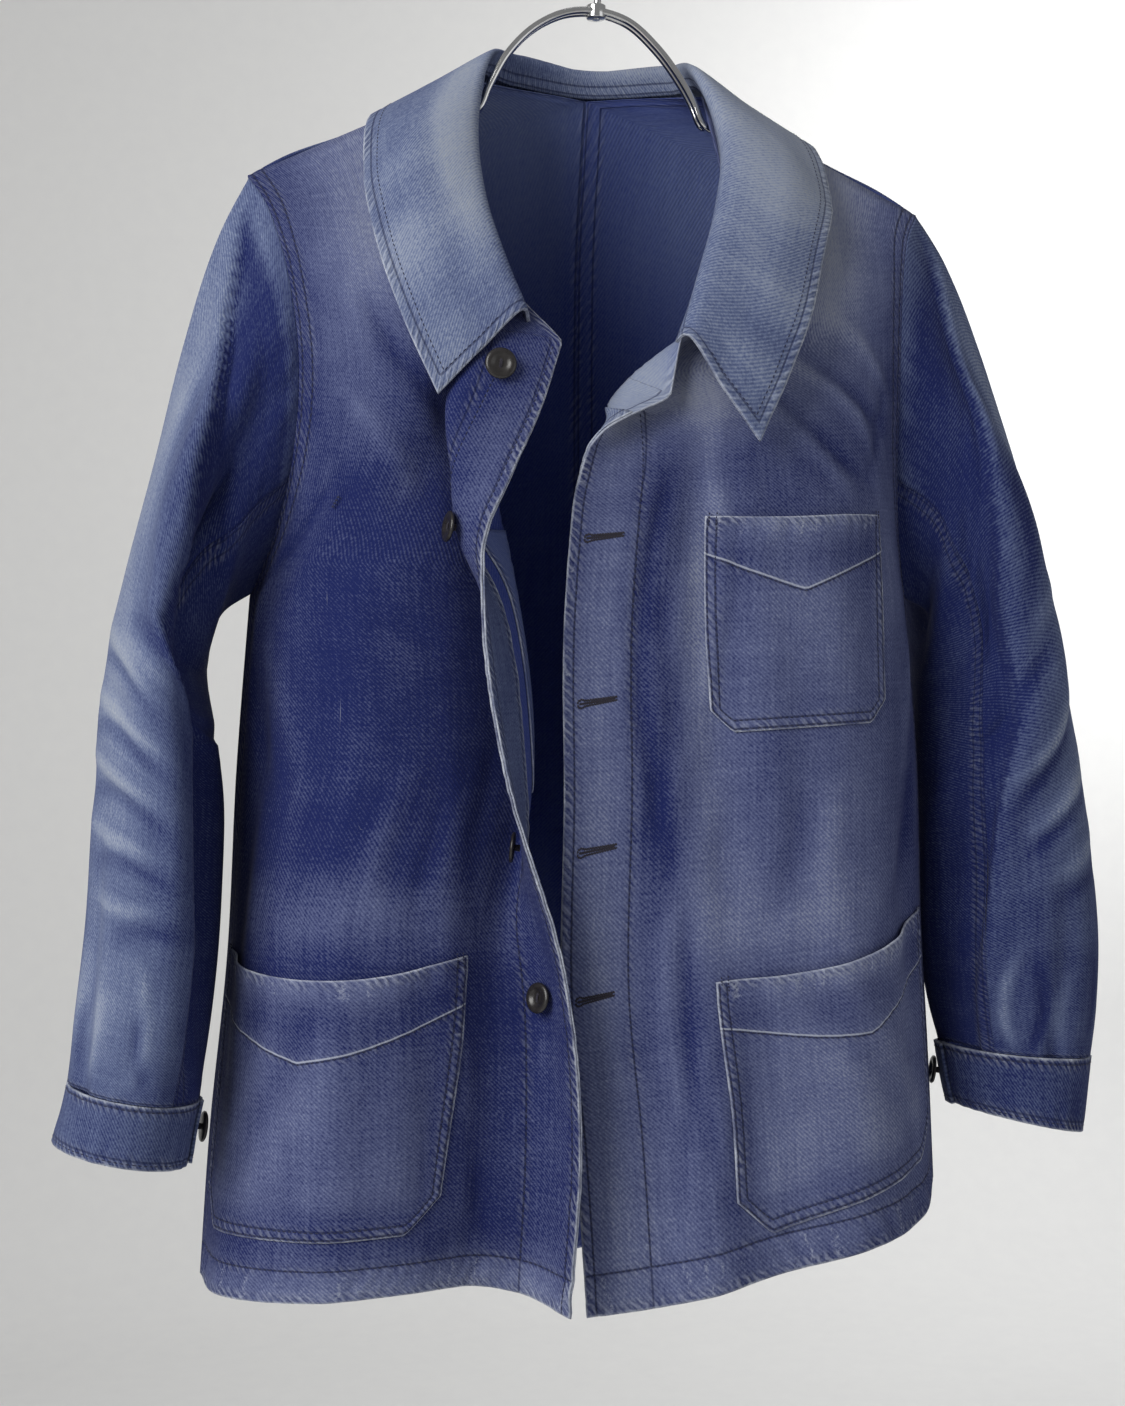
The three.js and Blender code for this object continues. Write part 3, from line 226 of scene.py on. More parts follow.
# Collar: neck seam, roll, fall and edge of each row, from the right front round to the left.
COLLAR = [
    ((-59, -94, 609), (-61, -100, 614), (-90, -103, 589), (-115, -100, 563)),
    ((-70, -79, 640), (-73, -87, 650), (-104, -94, 630), (-133, -90, 606)),
    ((-79, -60, 681), (-81, -63, 693), (-114, -73, 678), (-146, -66, 655)),
    ((-82, -25.5, 739), (-79, -30, 751), (-116, -38, 741), (-151, -33, 712)),
    ((-76.5, 6.6, 785), (-64, 4, 798), (-103, 5, 777), (-141, 6, 756)),
    ((-45, 39, 790), (-38, 36, 807), (-68, 54, 796), (-98, 66, 757)),
    ((10, 57, 789), (12, 58, 808), (12, 72, 796), (12, 82, 750)),
    ((65, 39, 790), (60, 36, 806), (90, 54, 794), (117, 66, 761)),
    ((77.5, 6.6, 783.2), (70, 4, 796), (109, 5, 775), (149, 6, 753)),
    ((81, -26, 732), (80, -30, 746), (116, -40, 734), (151, -36, 708)),
    ((68, -54, 682), (69, -60, 694), (103, -76, 678), (137, -68, 668)),
    ((49, -79.5, 635), (50, -87, 645), (84, -96, 624), (115, -92, 606)),
    ((33, -93, 600), (35, -100, 603), (60, -103, 571), (84, -100, 540)),
]
COLLAR_LAYER = 1.0
COLLAR_PARTING = 0.65

BUTTON_INSETS = (28, 28, 28, 28, 42)
BUTTON_STAND = 0.9
BUTTON_HEIGHTS = (203, 294, 384, 492, 612)
CUFF_BUTTON = 0.97  # of the way round a cuff
BUTTONHOLE_HEIGHTS = (233, 313, 397, 488)

# Arch of the hanger at the neck, [x, height], and the places of its arms along a shoulder.
ARCH = [(-74, 761), (-67, 776), (-54, 799), (-36, 817), (-16, 827), (4, 829),
        (24, 824), (44, 808), (60, 788), (69, 773), (75, 760)]
ROD_PARTING = 3.2
ARM_REACH = 7
ARM_SHARES = (0.06, 0.2, 0.36, 0.52, 0.68, 0.84)
HOOK_RADIUS = 22.0
HOOK_MIDDLE = 4.0


# Curves and surfaces


def lerp(a, b, t):
    return a + (b - a) * t


def smooth(x, low, high):
    t = np.clip((np.asarray(x, float) - low) / (high - low), 0, 1)
    return t * t * (3 - 2 * t)


def unit(vectors):
    return vectors / np.maximum(np.linalg.norm(vectors, axis=-1, keepdims=True), 1e-9)


def cells(*stops):
    """Places from the first stop to the last; each stop gives its place and the step after it."""
    places = [np.array([stops[0][0]], float)]
    for (start, step), (stop, _) in zip(stops, stops[1:]):
        count = max(1, round((stop - start) / step))
        places.append(np.linspace(start, stop, count + 1)[1:])
    return np.concatenate(places)


def through(points, knots):
    """A curve through points at rising knots, which keeps close to its points."""
    points = np.asarray(points, float)
    knots = np.asarray(knots, float)
    spans = np.diff(knots)[:, None]
    slopes = np.diff(points, axis=0) / spans
    middle = (slopes[:-1] * spans[1:] + slopes[1:] * spans[:-1]) / (spans[:-1] + spans[1:])
    tangents = np.vstack([slopes[:1], middle, slopes[-1:]])

    def at(t):
        t = np.asarray(t, float)
        i = np.clip(np.searchsorted(knots, t) - 1, 0, len(knots) - 2)
        span = spans[i]
        s = (t - knots[i])[..., None] / span
        return (points[i] * (1 + s * s * (2 * s - 3)) + tangents[i] * span * s * (s - 1) ** 2
                + points[i + 1] * s * s * (3 - 2 * s) + tangents[i + 1] * span * s * s * (s - 1))

    return at


def chords(points):
    lengths = np.linalg.norm(np.diff(points, axis=0), axis=1)
    return np.concatenate([[0], np.cumsum(np.maximum(lengths, 1e-3))])


def measured(points):
    """The curve through a few points, as 97 fine ones and their lengths along it."""
    knots = chords(points)
    fine = through(points, knots)(np.linspace(0, knots[-1], 97))
    return fine, chords(fine)


def along(line, distances):
    fine, lengths = line
    return np.stack([np.interp(distances, lengths, fine[:, k]) for k in range(3)], axis=-1)


def fold_lift(folds, u, v):
    """How far a table of soft ridges and troughs lifts the cloth."""
    total = np.zeros(np.broadcast(u, v).shape)
    for (u0, v0), (u1, v1), width, stretch, lift, *kept_open in folds:
        du, dv = u1 - u0, v1 - v0
        t = np.clip(((u - u0) * du + (v - v0) * dv) / (du * du + dv * dv), 0, 1)
        off = np.hypot(u - u0 - t * du, (v - v0 - t * dv) * stretch) / width
        ends = 1 if kept_open and kept_open[0] else np.sin(np.pi * np.clip(t, 0.12, 0.88))
        total = total + lift * ends * np.exp(-off * off)
    return total


def crease_lift(creases, s, t):
    """Creases in millimetres of cloth: from, to, width and lift, dying out at both ends."""
    total = np.zeros(np.broadcast(s, t).shape)
    for s0, t0, s1, t1, width, lift in creases:
        ds, dt = s1 - s0, t1 - t0
        length = math.hypot(ds, dt)
        k = np.clip(((s - s0) * ds + (t - t0) * dt) / length ** 2, 0, 1)
        bow = 0.07 * length * np.sin(np.pi * k) * (1 if lift > 0 else -1)
        off = ((s - s0) * dt - (t - t0) * ds) / length + bow
        beyond = np.hypot(s - s0 - k * ds, t - t0 - k * dt)
        near = np.where((k > 0) & (k < 1), np.abs(off), np.hypot(off, beyond)) / width
        total = total + lift * np.sin(np.pi * np.clip(k, 0.03, 0.97)) ** 0.8 * np.exp(-near * near)
    return total


def tuck_lift(tucks, u, v):
    """Folds with one sharp edge: the cloth drops behind it, on the side of the armpit.

    Each tuck lists v, the edge's u and the drop, and over how much of u the drop lasts.
    """
    total = np.zeros(np.broadcast(u, v).shape)
    for stops, lasting in tucks:
        vs, us, drops = np.array(stops, float).T
        beyond = np.interp(v, vs, us) - u
        drop = np.interp(v, vs, drops)
        behind = smooth(beyond, -0.003, 0.015) * (1 - smooth(beyond, 0.5 * lasting, lasting))
        total = total - drop * behind + 0.2 * drop * np.exp(-(((beyond + 0.02) / 0.026) ** 2))
    return total


def painted_tuck_shade(tucks, u, v):
    """Where the cloth lies behind a tuck, from 0 to 1: a mask for painted shade in the hollow behind the tuck."""
    total = np.zeros(np.broadcast(u, v).shape)
    for stops, lasting in tucks:
        vs, us, drops = np.array(stops, float).T
        beyond = np.interp(v, vs, us) - u
        held = smooth(np.interp(v, vs, drops), 0, 4)
        total = np.maximum(total, held * smooth(beyond, 0, 0.008) * (1 - smooth(beyond, lasting, 1.5 * lasting)))
    return total


def ripple(place, wave, shift):
    """An uneven ripple along a seam, from -1 to 1 and the same on every run."""
    bend = 1.9 * np.sin(place / (wave * 0.61) + shift * 1.3)
    bend = bend + 1.1 * np.sin(place / (wave * 1.7) + shift * 2.9)
    swell = 0.62 + 0.38 * np.sin(place / (wave * 0.83) + shift * 4.1)
    return swell * np.sin(2 * np.pi * place / wave + bend + shift)


def groove(distance, at, width, depth):
    return -depth * np.exp(-(((distance - at) / width) ** 2))


def blobs(table, s, t):
    """Soft patches: middle s and t, half widths, and amount."""
    total = np.zeros(np.broadcast(s, t).shape)
    for s0, t0, half_s, half_t, amount in table:
        total = total + amount * np.exp(-((s - s0) / half_s) ** 2 - ((t - t0) / half_t) ** 2)
    return total


def shown(points):
    """Garment millimetres to metres in the frame."""
    out = np.array(points, float) * MM
    out[..., 2] -= RAIL_HEIGHT * MM
    return out


class Cloth:
    """A finished sheet: its points over s, across it, and t, up it, with outward normals."""

    def __init__(self, s, t, points, outward, reach=None):
        self.s, self.t, self.points, self.reach = s, t, points, reach
        normals = unit(np.cross(np.gradient(points, axis=1), np.gradient(points, axis=0)))
        toward = outward(points) if callable(outward) else np.asarray(outward, float)
        self.turned = float((normals * toward).sum(-1).mean()) < 0
        self.normals = -normals if self.turned else normals

    def at(self, s, t, out=0.0):
        """Points on the sheet, lifted off it by out."""
        i = np.clip(np.interp(s, self.s, np.arange(len(self.s))), 0, len(self.s) - 1.001)
        j = np.clip(np.interp(t, self.t, np.arange(len(self.t))), 0, len(self.t) - 1.001)
        i, j = np.broadcast_arrays(i, j)
        i0, j0 = i.astype(int), j.astype(int)
        a, b = (i - i0)[..., None], (j - j0)[..., None]

        def mixed(grid):
            low = grid[j0, i0] * (1 - a) + grid[j0, i0 + 1] * a
            high = grid[j0 + 1, i0] * (1 - a) + grid[j0 + 1, i0 + 1] * a
            return low * (1 - b) + high * b

        normal = unit(mixed(self.normals))
        return mixed(self.points) + normal * np.asarray(out, float)[..., None], normal

    def from_edge(self, distance, t):
        """s where a row is that far from the edge, or from the side when negative."""
        found = []
        for height in np.atleast_1d(t):
            j = int(np.clip(np.searchsorted(self.t, height), 0, len(self.t) - 1))
            reach = self.reach[j]
            wanted = distance if distance >= 0 else reach[-1] + distance
            found.append(np.interp(wanted, reach, self.s))
        return np.array(found)


class Panel:
    """A body panel's bare surface, over across, from side to edge, and v, from hem to shoulder."""

    def __init__(self, rows, folds, corner, outward):
        self.rise = np.array([row[0] for row in rows], float)
        self.folds, self.outward = folds, outward
        stations = len(rows[0][2])
        places = np.array([
            [(p[0], p[1], lerp(side, edge, i / (stations - 1)) + (p[2] if len(p) > 2 else 0))
             for i, p in enumerate(at)]
            for side, edge, at in rows
        ], float)
        knots = self.v_of(self.rise)
        self.columns = [through(places[:, i], knots) for i in range(stations)]
        self.columns[0] = self.cornered(places[:, 0], knots, ARMPIT_ROW)
        self.columns[-1] = self.cornered(places[:, -1], knots, corner)
        self.kept = {}

    def v_of(self, heights):
        return (np.asarray(heights, float) - self.rise[0]) / (self.rise[-1] - self.rise[0])

    @staticmethod
    def cornered(points, knots, at):
        below = through(points[: at + 1], knots[: at + 1])
        above = through(points[at:], knots[at:])
        return lambda v: np.where((np.asarray(v) <= knots[at])[..., None], below(v), above(v))

    def line(self, v):
        key = round(float(v), 7)
        if key not in self.kept:
            self.kept[key] = measured(np.array([column(v) for column in self.columns]))
        return self.kept[key]

    def length(self, v):
        return self.line(v)[1][-1]

    def base(self, across, vs):
        vs = np.clip(vs, 0, 1)
        rows = []
        for share, v in zip(np.clip(across, 0, 1), vs):
            line = self.line(v)
            rows.append(along(line, share * line[1][-1]))
        return np.array(rows)

    def normals(self, across, vs):
        sideways = self.base(across + STEP, vs) - self.base(across - STEP, vs)
        up = self.base(across, vs + STEP) - self.base(across, vs - STEP)
        normals = unit(np.cross(sideways, up))
        turned = float((normals * np.asarray(self.outward, float)).sum(-1).mean()) < 0
        return -normals if turned else normals

    def place(self, across, vs, detail=0.0):
        v = vs[:, None]
        calm = smooth(across, 0, 0.12) * smooth(1 - across, 0, 0.1) * smooth(1 - v, 0, 0.15)
        lift = fold_lift(self.folds, across, v) * calm + detail
        return self.base(across, vs) + self.normals(across, vs) * lift[..., None]


PANELS = {
    "front_right": Panel(RIGHT_FRONT, MAIN_FOLDS["front_right"], CORNER_ROW, (0, -1, 0)),
    "front_left": Panel(LEFT_FRONT, MAIN_FOLDS["front_left"], CORNER_ROW, (0, -1, 0)),
    "back_right": Panel(RIGHT_BACK, MAIN_FOLDS["back_right"], NECK_ROW, (0, 1, 0)),
    "back_left": Panel(LEFT_BACK, MAIN_FOLDS["back_left"], NECK_ROW, (0, 1, 0)),
}

# Small creases of each piece: from s, t to s, t, width and lift, in millimetres of cloth.
# s is the distance from the front edge or the centre back, t the height at the side seam.
CREASES = {
    "front_right": [
        (150, 470, 240, 540, 9, -2.2), (160, 500, 250, 580, 8, 1.8), (120, 420, 200, 470, 10, -1.6),
        (225, 300, 270, 420, 9, -2.0), (205, 280, 245, 400, 9, 1.6), (70, 240, 90, 380, 8, -1.4),
        (110, 250, 120, 330, 10, 1.5), (60, 40, 74, 170, 7, -1.4), (84, 60, 90, 190, 8, 1.5),
        (250, 330, 285, 440, 7, -2.2), (140, 560, 210, 640, 10, -2.0), (262, 470, 284, 380, 6, 2.2),
        (128, 340, 116, 240, 9, -2.2), (146, 350, 140, 250, 9, 2.0), (236, 520, 276, 450, 7, -2.0),
    ],
    "front_left": [
        (60, 100, 70, 300, 7, -2.2), (76, 120, 84, 330, 8, 1.9), (50, 300, 58, 470, 7, -2.0),
        (72, 320, 80, 480, 8, 1.6), (220, 250, 262, 360, 9, -1.8), (240, 330, 280, 430, 8, 1.6),
        (130, 250, 150, 350, 11, -1.4), (180, 240, 176, 350, 10, 1.3), (95, 250, 102, 360, 9, 1.4),
        (200, 520, 262, 600, 9, -1.5), (70, 60, 80, 150, 7, -1.2), (118, 630, 215, 520, 7, -3.0),
        (132, 640, 232, 530, 7, 2.6), (146, 648, 262, 556, 7, -2.8), (160, 656, 272, 572, 7, 2.4),
        (108, 610, 196, 500, 8, 2.2), (62, 540, 66, 300, 6, -2.6), (88, 540, 88, 380, 6, 2.6),
        (96, 200, 92, 90, 6, -2.4), (82, 210, 78, 80, 6, 2.0),
    ],
    "back_right": [
        (60, 80, 80, 330, 14, -2.0), (120, 60, 130, 300, 16, 2.2), (190, 90, 205, 350, 12, -2.0),
        (150, 430, 230, 520, 14, 1.8), (120, 460, 200, 560, 13, -1.8), (20, 120, 34, 300, 9, 1.2),
    ],
    "back_left": [
        (66, 100, 76, 350, 14, -2.0), (128, 80, 140, 320, 16, 2.2), (196, 110, 210, 370, 12, -2.0),
        (156, 440, 236, 530, 14, 1.8), (126, 470, 206, 570, 13, -1.8), (22, 130, 30, 310, 9, 1.2),
    ],
}
# Broad fading of the outside: middle s, t, half widths, and amount. The inside reads the same
# patches, so those high on each half back also pale its inside there: painted light.
FADE_AND_PAINTED_LIGHT = {
    "front_right": [(150, 690, 110, 60, 0.75), (225, 610, 60, 80, 0.3), (150, 560, 60, 60, 0.1),
                    (150, 252, 90, 26, 0.34), (190, 110, 110, 70, 0.3), (20, 90, 30, 150, 0.14),
                    (70, 300, 34, 90, 0.1), (258, 440, 30, 130, 0.12), (110, 20, 190, 24, 0.6),
                    (16, 540, 26, 100, 0.3), (150, 420, 30, 60, 0.12)],
    "front_left": [(150, 690, 120, 70, 0.95), (22, 330, 24, 340, 0.42), (150, 262, 90, 34, 0.4),
                   (86, 440, 14, 150, 0.42), (120, 590, 80, 40, 0.35), (170, 130, 120, 80, 0.44),
                   (60, 50, 80, 60, 0.3), (180, 330, 60, 60, 0.3), (150, 450, 80, 70, 0.3),
                   (240, 480, 40, 90, 0.3), (12, 612, 60, 34, 1.0), (110, 340, 16, 90, 0.2), (100, 90, 12, 60, -0.2)],
    "back_right": [(80, 720, 120, 90, 0.85), (150, 300, 90, 150, 0.2), (120, 60, 140, 50, 0.36)],
    "back_left": [(130, 660, 130, 70, 0.5), (150, 300, 90, 150, 0.2), (120, 90, 140, 50, 0.36)],
}
# The same for the collar: round it from the right front, and across it from 0 to 1.
COLLAR_FADE = [(150, 0.3, 110, 0.16, 0.75), (60, 0.75, 70, 0.4, 0.2), (30, 0.35, 60, 0.3, -0.25),
               (430, 0.3, 90, 0.16, 0.5), (560, 0.6, 80, 0.4, 0.3), (300, 0.2, 110, 0.2, -0.2),
               (520, 0.65, 130, 0.6, 0.42)]
INNER_POCKET_LINE = [(220, 503), (196, 468), (192, 400), (190, 330), (164, 305), (42, 302)]
CUT = {}  # the finished Cloth of each piece, by its node's name


def front_share(s, length):
    scale = min(1, (length - 50) / FIRM)
    return np.where(s <= FIRM, s * scale, lerp(FIRM * scale, length, (s - FIRM) / (FRONT_WIDTH - FIRM))) / length


def lay_body(name):
    """The cloth of a front or a half back, with its seams, hem and creases."""
    panel = PANELS[name]
    front = name.startswith("front")
    width = FRONT_WIDTH if front else BACK_WIDTH
    low, high = panel.rise[0], panel.rise[-1]
    s = cells((0, 2.0), (12, 3.4), (width - 12, 2.4), (width, 1))
    t = cells((low, 2.0), (low + 26, 3.5), (high, 1))
    vs = panel.v_of(t)
    lengths = np.array([panel.length(v) for v in vs])
    if front:
        share = np.array([front_share(s, length) for length in lengths])
    else:
        share = np.tile(s / width, (len(t), 1))
    reach = share * lengths[:, None]
    side = lengths[:, None] - reach
    up = (t - low)[:, None]
    grain = s[None, :]
    detail = crease_lift(CREASES[name], grain, t[:, None]) * smooth(side, 4, 22)
    # The hem: its stitching pulls a groove, and the band below it ropes.
    slant = grain + 0.62 * up
    detail += groove(up, 20, 2.2, 0.7) + groove(up, 2.5, 2, 0.3)
    detail += 0.75 * ripple(slant, 13, low) * smooth(23 - up, 0, 5) * smooth(up, 0, 3)
    detail += 0.3 * ripple(grain, 17, low + 2) * np.exp(-(((up - 27) / 9) ** 2))
    if front:
        below = smooth(panel.rise[CORNER_ROW] - t, -2, 6)[:, None]
        detail += below * (groove(reach, 6.5, 1.6, 0.45) + groove(reach, PLACKET, 2, 0.55))
        detail += below * 0.35 * ripple(t[:, None], 15, low) * np.exp(-(((reach - 3) / 5) ** 2))
        detail += below * 0.4 * ripple(t[:, None] + reach * 0.5, 19, 3) * np.exp(-(((reach - PLACKET) / 7) ** 2))
    else:
        detail += groove(reach, 2, 1.4, 0.4) + groove(reach, 9, 1.6, 0.4)
        detail += 0.35 * ripple(t[:, None], 18, 5) * np.exp(-(((reach - 9) / 8) ** 2))
    rim = np.exp(-((side / 13) ** 2))
    detail += rim * 0.4 * ripple(t[:, None], 16, low + 7) * smooth(side, 0, 4)
    detail += groove(side, 3, 1.3, 0.35) + groove(side, 10, 1.5, 0.35)
    detail *= smooth(side, 0, 2.5)
    points = panel.place(1 - share, vs, detail)
    CUT[name] = Cloth(s, t, points, panel.outward, reach)
    return CUT[name], detail


# Sleeves


class Sleeve:
    """A sleeve's surface over u, round it from the armpit by the front, and v, along it."""

    def __init__(self, rows, folds, hold=None, creases=(), tucks=()):
        knots = [row[0] for row in rows]
        self.outer = through([(row[1][0], 0, row[1][1]) for row in rows], knots)
        self.inner = through([(row[2][0], 0, row[2][1]) for row in rows], knots)
        self.middle = through([(row[3], row[4]) for row in rows], knots)
        self.folds, self.hold, self.creases, self.tucks = folds, hold, creases, tucks

    def ring(self, u, v):
        high, low, middle = self.outer(v), self.inner(v), self.middle(v)
        turn = 2 * np.pi * u
        points = ((high + low) / 2)[:, None] + ((low - high) / 2)[:, None] * np.cos(turn)[None, :, None]
        points[..., 1] += middle[:, :1] - middle[:, 1:] * np.sin(turn)[None]
        return points

    def base(self, u, v):
        v = np.clip(v, 0, 1)
        points = self.ring(u, v)
        if self.hold:
            pull = self.hold(u % 1) - self.ring(u, np.zeros(1))[0]
            points += pull[None] * (1 - smooth(v, 0, 0.34))[:, None, None]
        return points

    def normals(self, u, v):
        sideways = self.base(u + STEP, v) - self.base(u - STEP, v)
        down = self.base(u, v + STEP) - self.base(u, v - STEP)
        normals = unit(np.cross(sideways, down))
        centre = self.base(np.linspace(0, 1, 24, endpoint=False), v).mean(1)[:, None]
        turned = float((normals * (self.base(u, v) - centre)).sum(-1).mean()) < 0
        return -normals if turned else normals

    def place(self, u, v, detail=0.0):
        lift = fold_lift(self.folds, (u % 1)[None], v[:, None]) * smooth(v, 0, 0.12)[:, None]
        lift = lift + tuck_lift(self.tucks, ((u + 0.4) % 1 - 0.4)[None], v[:, None])
        creased = crease_lift(self.creases, (u % 1)[None] * SLEEVE_GIRTH, v[:, None] * SLEEVE_LENGTH)
        lift = lift + 0.42 * creased * (smooth(v, 0, 0.06) * smooth(1 - v, 0, 0.03))[:, None] + detail
        return self.base(u, v) + self.normals(u, v) * lift[..., None]

    def outward(self, v):
        centre = self.base(np.linspace(0, 1, 24, endpoint=False), v).mean(1)[:, None]
        return lambda points: points - centre


# Tucks of the sleeves, where the top of the sleeve laps over the hollow of the arm.
SLEEVE_TUCKS = {
    "right": [
        ([(0.02, 0.5, 0), (0.06, 0.47, 5), (0.115, 0.428, 9), (0.167, 0.335, 14), (0.283, 0.25, 19),
          (0.347, 0.274, 19), (0.39, 0.29, 13), (0.415, 0.25, 8), (0.43, 0.2, 0)], 0.3),
        ([(0.39, 0.28, 0), (0.416, 0.237, 8), (0.427, 0.18, 12), (0.468, 0.16, 14), (0.6, 0.15, 14),
          (0.73, 0.145, 13), (0.86, 0.14, 8), (0.97, 0.13, 0)], 0.16),
    ],
    "left": [
        ([(0.0, 0.5, 0), (0.06, 0.47, 3), (0.16, 0.35, 6), (0.213, 0.276, 10), (0.312, 0.228, 12), (0.4, 0.23, 11),
          (0.485, 0.237, 9), (0.54, 0.21, 0)], 0.24),
        ([(0.47, 0.25, 0), (0.532, 0.209, 8), (0.6, 0.18, 10), (0.665, 0.165, 10), (0.769, 0.15, 9),
          (0.88, 0.13, 7), (1.0, 0.125, 4)], 0.17),
    ],
}
# Creases of the sleeves, in millimetres round the sleeve and down from the armhole.
SLEEVE_CREASES = {
    "right": [
        (92, 290, 165, 276, 7, 3.4), (88, 306, 168, 300, 6, -3.0), (80, 326, 170, 322, 6, 3.6),
        (76, 344, 165, 346, 6, -3.2), (84, 364, 172, 360, 5, 3.4), (74, 382, 160, 386, 6, -3.0),
        (82, 402, 166, 404, 6, 3.2), (70, 420, 150, 430, 6, -2.6), (78, 440, 150, 452, 6, 2.6),
        (70, 250, 130, 262, 9, -2.4), (76, 268, 140, 274, 8, 2.0), (60, 452, 120, 476, 8, -1.8),
        (92, 478, 88, 588, 5, 3.4), (82, 500, 78, 590, 5, -3.2), (124, 500, 128, 588, 6, 2.6),
        (136, 510, 142, 588, 6, -2.2), (150, 480, 160, 560, 8, 1.8), (180, 300, 240, 318, 9, 2.4),
        (184, 330, 250, 340, 8, -2.4), (190, 360, 246, 380, 9, 2.2), (200, 60, 215, 190, 12, -2.4),
        (230, 80, 245, 200, 12, 2.4), (120, 40, 128, 150, 9, -2.2), (138, 30, 150, 170, 9, 2.2),
    ],
    "left": [
        (64, 340, 130, 300, 7, 3.4), (68, 362, 136, 322, 6, -3.0), (70, 384, 142, 346, 6, 3.2),
        (72, 404, 146, 368, 6, -3.0), (80, 424, 150, 390, 7, 2.6), (56, 300, 112, 262, 8, -2.6),
        (90, 246, 150, 222, 9, 2.4), (92, 446, 150, 424, 8, -2.0), (70, 470, 64, 598, 4, 3.6),
        (78, 480, 72, 598, 4, -3.6), (104, 500, 100, 590, 6, 2.4), (124, 480, 120, 588, 6, -2.2),
        (180, 310, 240, 326, 9, 2.4), (184, 340, 250, 350, 8, -2.4), (190, 370, 246, 390, 9, 2.2),
        (200, 60, 215, 190, 12, -2.4), (230, 80, 245, 200, 12, 2.4), (118, 40, 112, 170, 8, -2.4),
        (134, 40, 128, 200, 8, 2.4), (150, 60, 160, 220, 10, 1.8), (98, 120, 92, 230, 7, -2.2),
    ],
}
SLEEVE_FADE = {
    "right": [(160, 100, 46, 130, 0.5), (130, 350, 50, 110, 0.5), (130, 530, 80, 80, 0.4), (165, 230, 50, 90, 0.34)],
    "left": [(180, 50, 70, 90, 0.3), (120, 370, 36, 90, 0.26), (130, 560, 60, 40, 0.1), (150, 220, 46, 150, 0.4)],
}


def armhole(side):
    """The seam that a sleeve hangs from, from the armpit by the front to the armpit."""
    loop = []
    for name, order in (("front_", 1), ("back_", -1)):
        panel = PANELS[name + side]
        vs = np.linspace(panel.v_of(panel.rise[ARMPIT_ROW]), 1, 80)
        rim = panel.base(np.zeros((80, 1)), vs)[:, 0]
        loop.append(rim[::order][(0 if order > 0 else 1):])
    loop = np.vstack(loop)
    lengths = chords(loop)
    shares = lengths / lengths[-1]
    return lambda u: np.stack([np.interp(u, shares, loop[:, k]) for k in range(3)], axis=-1)


def lay_sleeve(side, kind):
    rows = RIGHT_SLEEVE if side == "right" else LEFT_SLEEVE
    sleeve = Sleeve(rows, SLEEVE_FOLDS[side], armhole(side), SLEEVE_CREASES[side], SLEEVE_TUCKS[side])
    start, stop = UNDER_SEAMS if kind == "top" else (UNDER_SEAMS[1], UNDER_SEAMS[0] + 1)
    v = cells((0, 0.004), (0.04, 0.0058), (1, 1))
    u = cells((start, 0.0062), (start + 0.03, 0.0095), (stop - 0.03, 0.0062), (stop, 1))
    girth = np.linalg.norm(np.diff(sleeve.base(np.linspace(0, 1, 61), v), axis=1), axis=2).sum(1)
    from_start = (u - start)[None] * girth[:, None]
    from_stop = (stop - u)[None] * girth[:, None]
    down = v[:, None] * SLEEVE_LENGTH
    detail = groove(from_stop, 2.5, 1.3, 0.4) + groove(from_stop, 9.5, 1.5, 0.4)
    detail += 0.5 * ripple(down, 17, 2) * np.exp(-((from_stop / 12) ** 2)) * smooth(from_stop, 0, 3)
    detail += 0.35 * ripple(down, 19, 6) * np.exp(-((from_start / 10) ** 2)) * smooth(from_start, 0, 3)
    detail += 0.8 * ripple(u[None] * SLEEVE_GIRTH, 21, 4) * np.exp(-(((down - 16) / 14) ** 2)) * smooth(down, 0, 8)
    detail += 0.6 * ripple(u[None] * SLEEVE_GIRTH, 14, 9) * np.exp(-(((SLEEVE_LENGTH - down) / 12) ** 2))
    points = sleeve.place(u, v, detail)
    cloth = Cloth(u * SLEEVE_GIRTH, v * SLEEVE_LENGTH, points, sleeve.outward(v), from_start)
    CUT["sleeve_%s_%s" % (kind, side)] = cloth
    return cloth, detail


def lay_cuff(side):
    rows = RIGHT_CUFF if side == "right" else LEFT_CUFF
    cuff = Sleeve(rows, [])
    u = cells((-0.04, 0.008), (1.01, 1))
    v = cells((0, 0.055), (1, 1))
    lapped = smooth(u, 0.92, 0.95)[None] * (CUFF + 0.3)
    down = v[:, None] * 36
    detail = lapped + groove(down, 3, 1.2, 0.3) + groove(down, 33, 1.2, 0.3)
    detail = detail + 0.5 * ripple(u[None] * SLEEVE_GIRTH, 16, 3) * np.exp(-(((down - 30) / 10) ** 2))
    detail = detail + 0.5 * ripple(u[None] * SLEEVE_GIRTH, 13, 8) * np.exp(-((down / 8) ** 2))
    points = cuff.place(u, v, detail)
    CUT["cuff_" + side] = Cloth(u * SLEEVE_GIRTH, v * 36, points, cuff.outward(v))
    return CUT["cuff_" + side], detail


# Collar


def collar_line():
    rows = np.array(COLLAR, float)
    knots = chords(rows[:, 2])
    knots = knots / knots[-1]
    return [through(rows[:, i], knots) for i in range(4)]


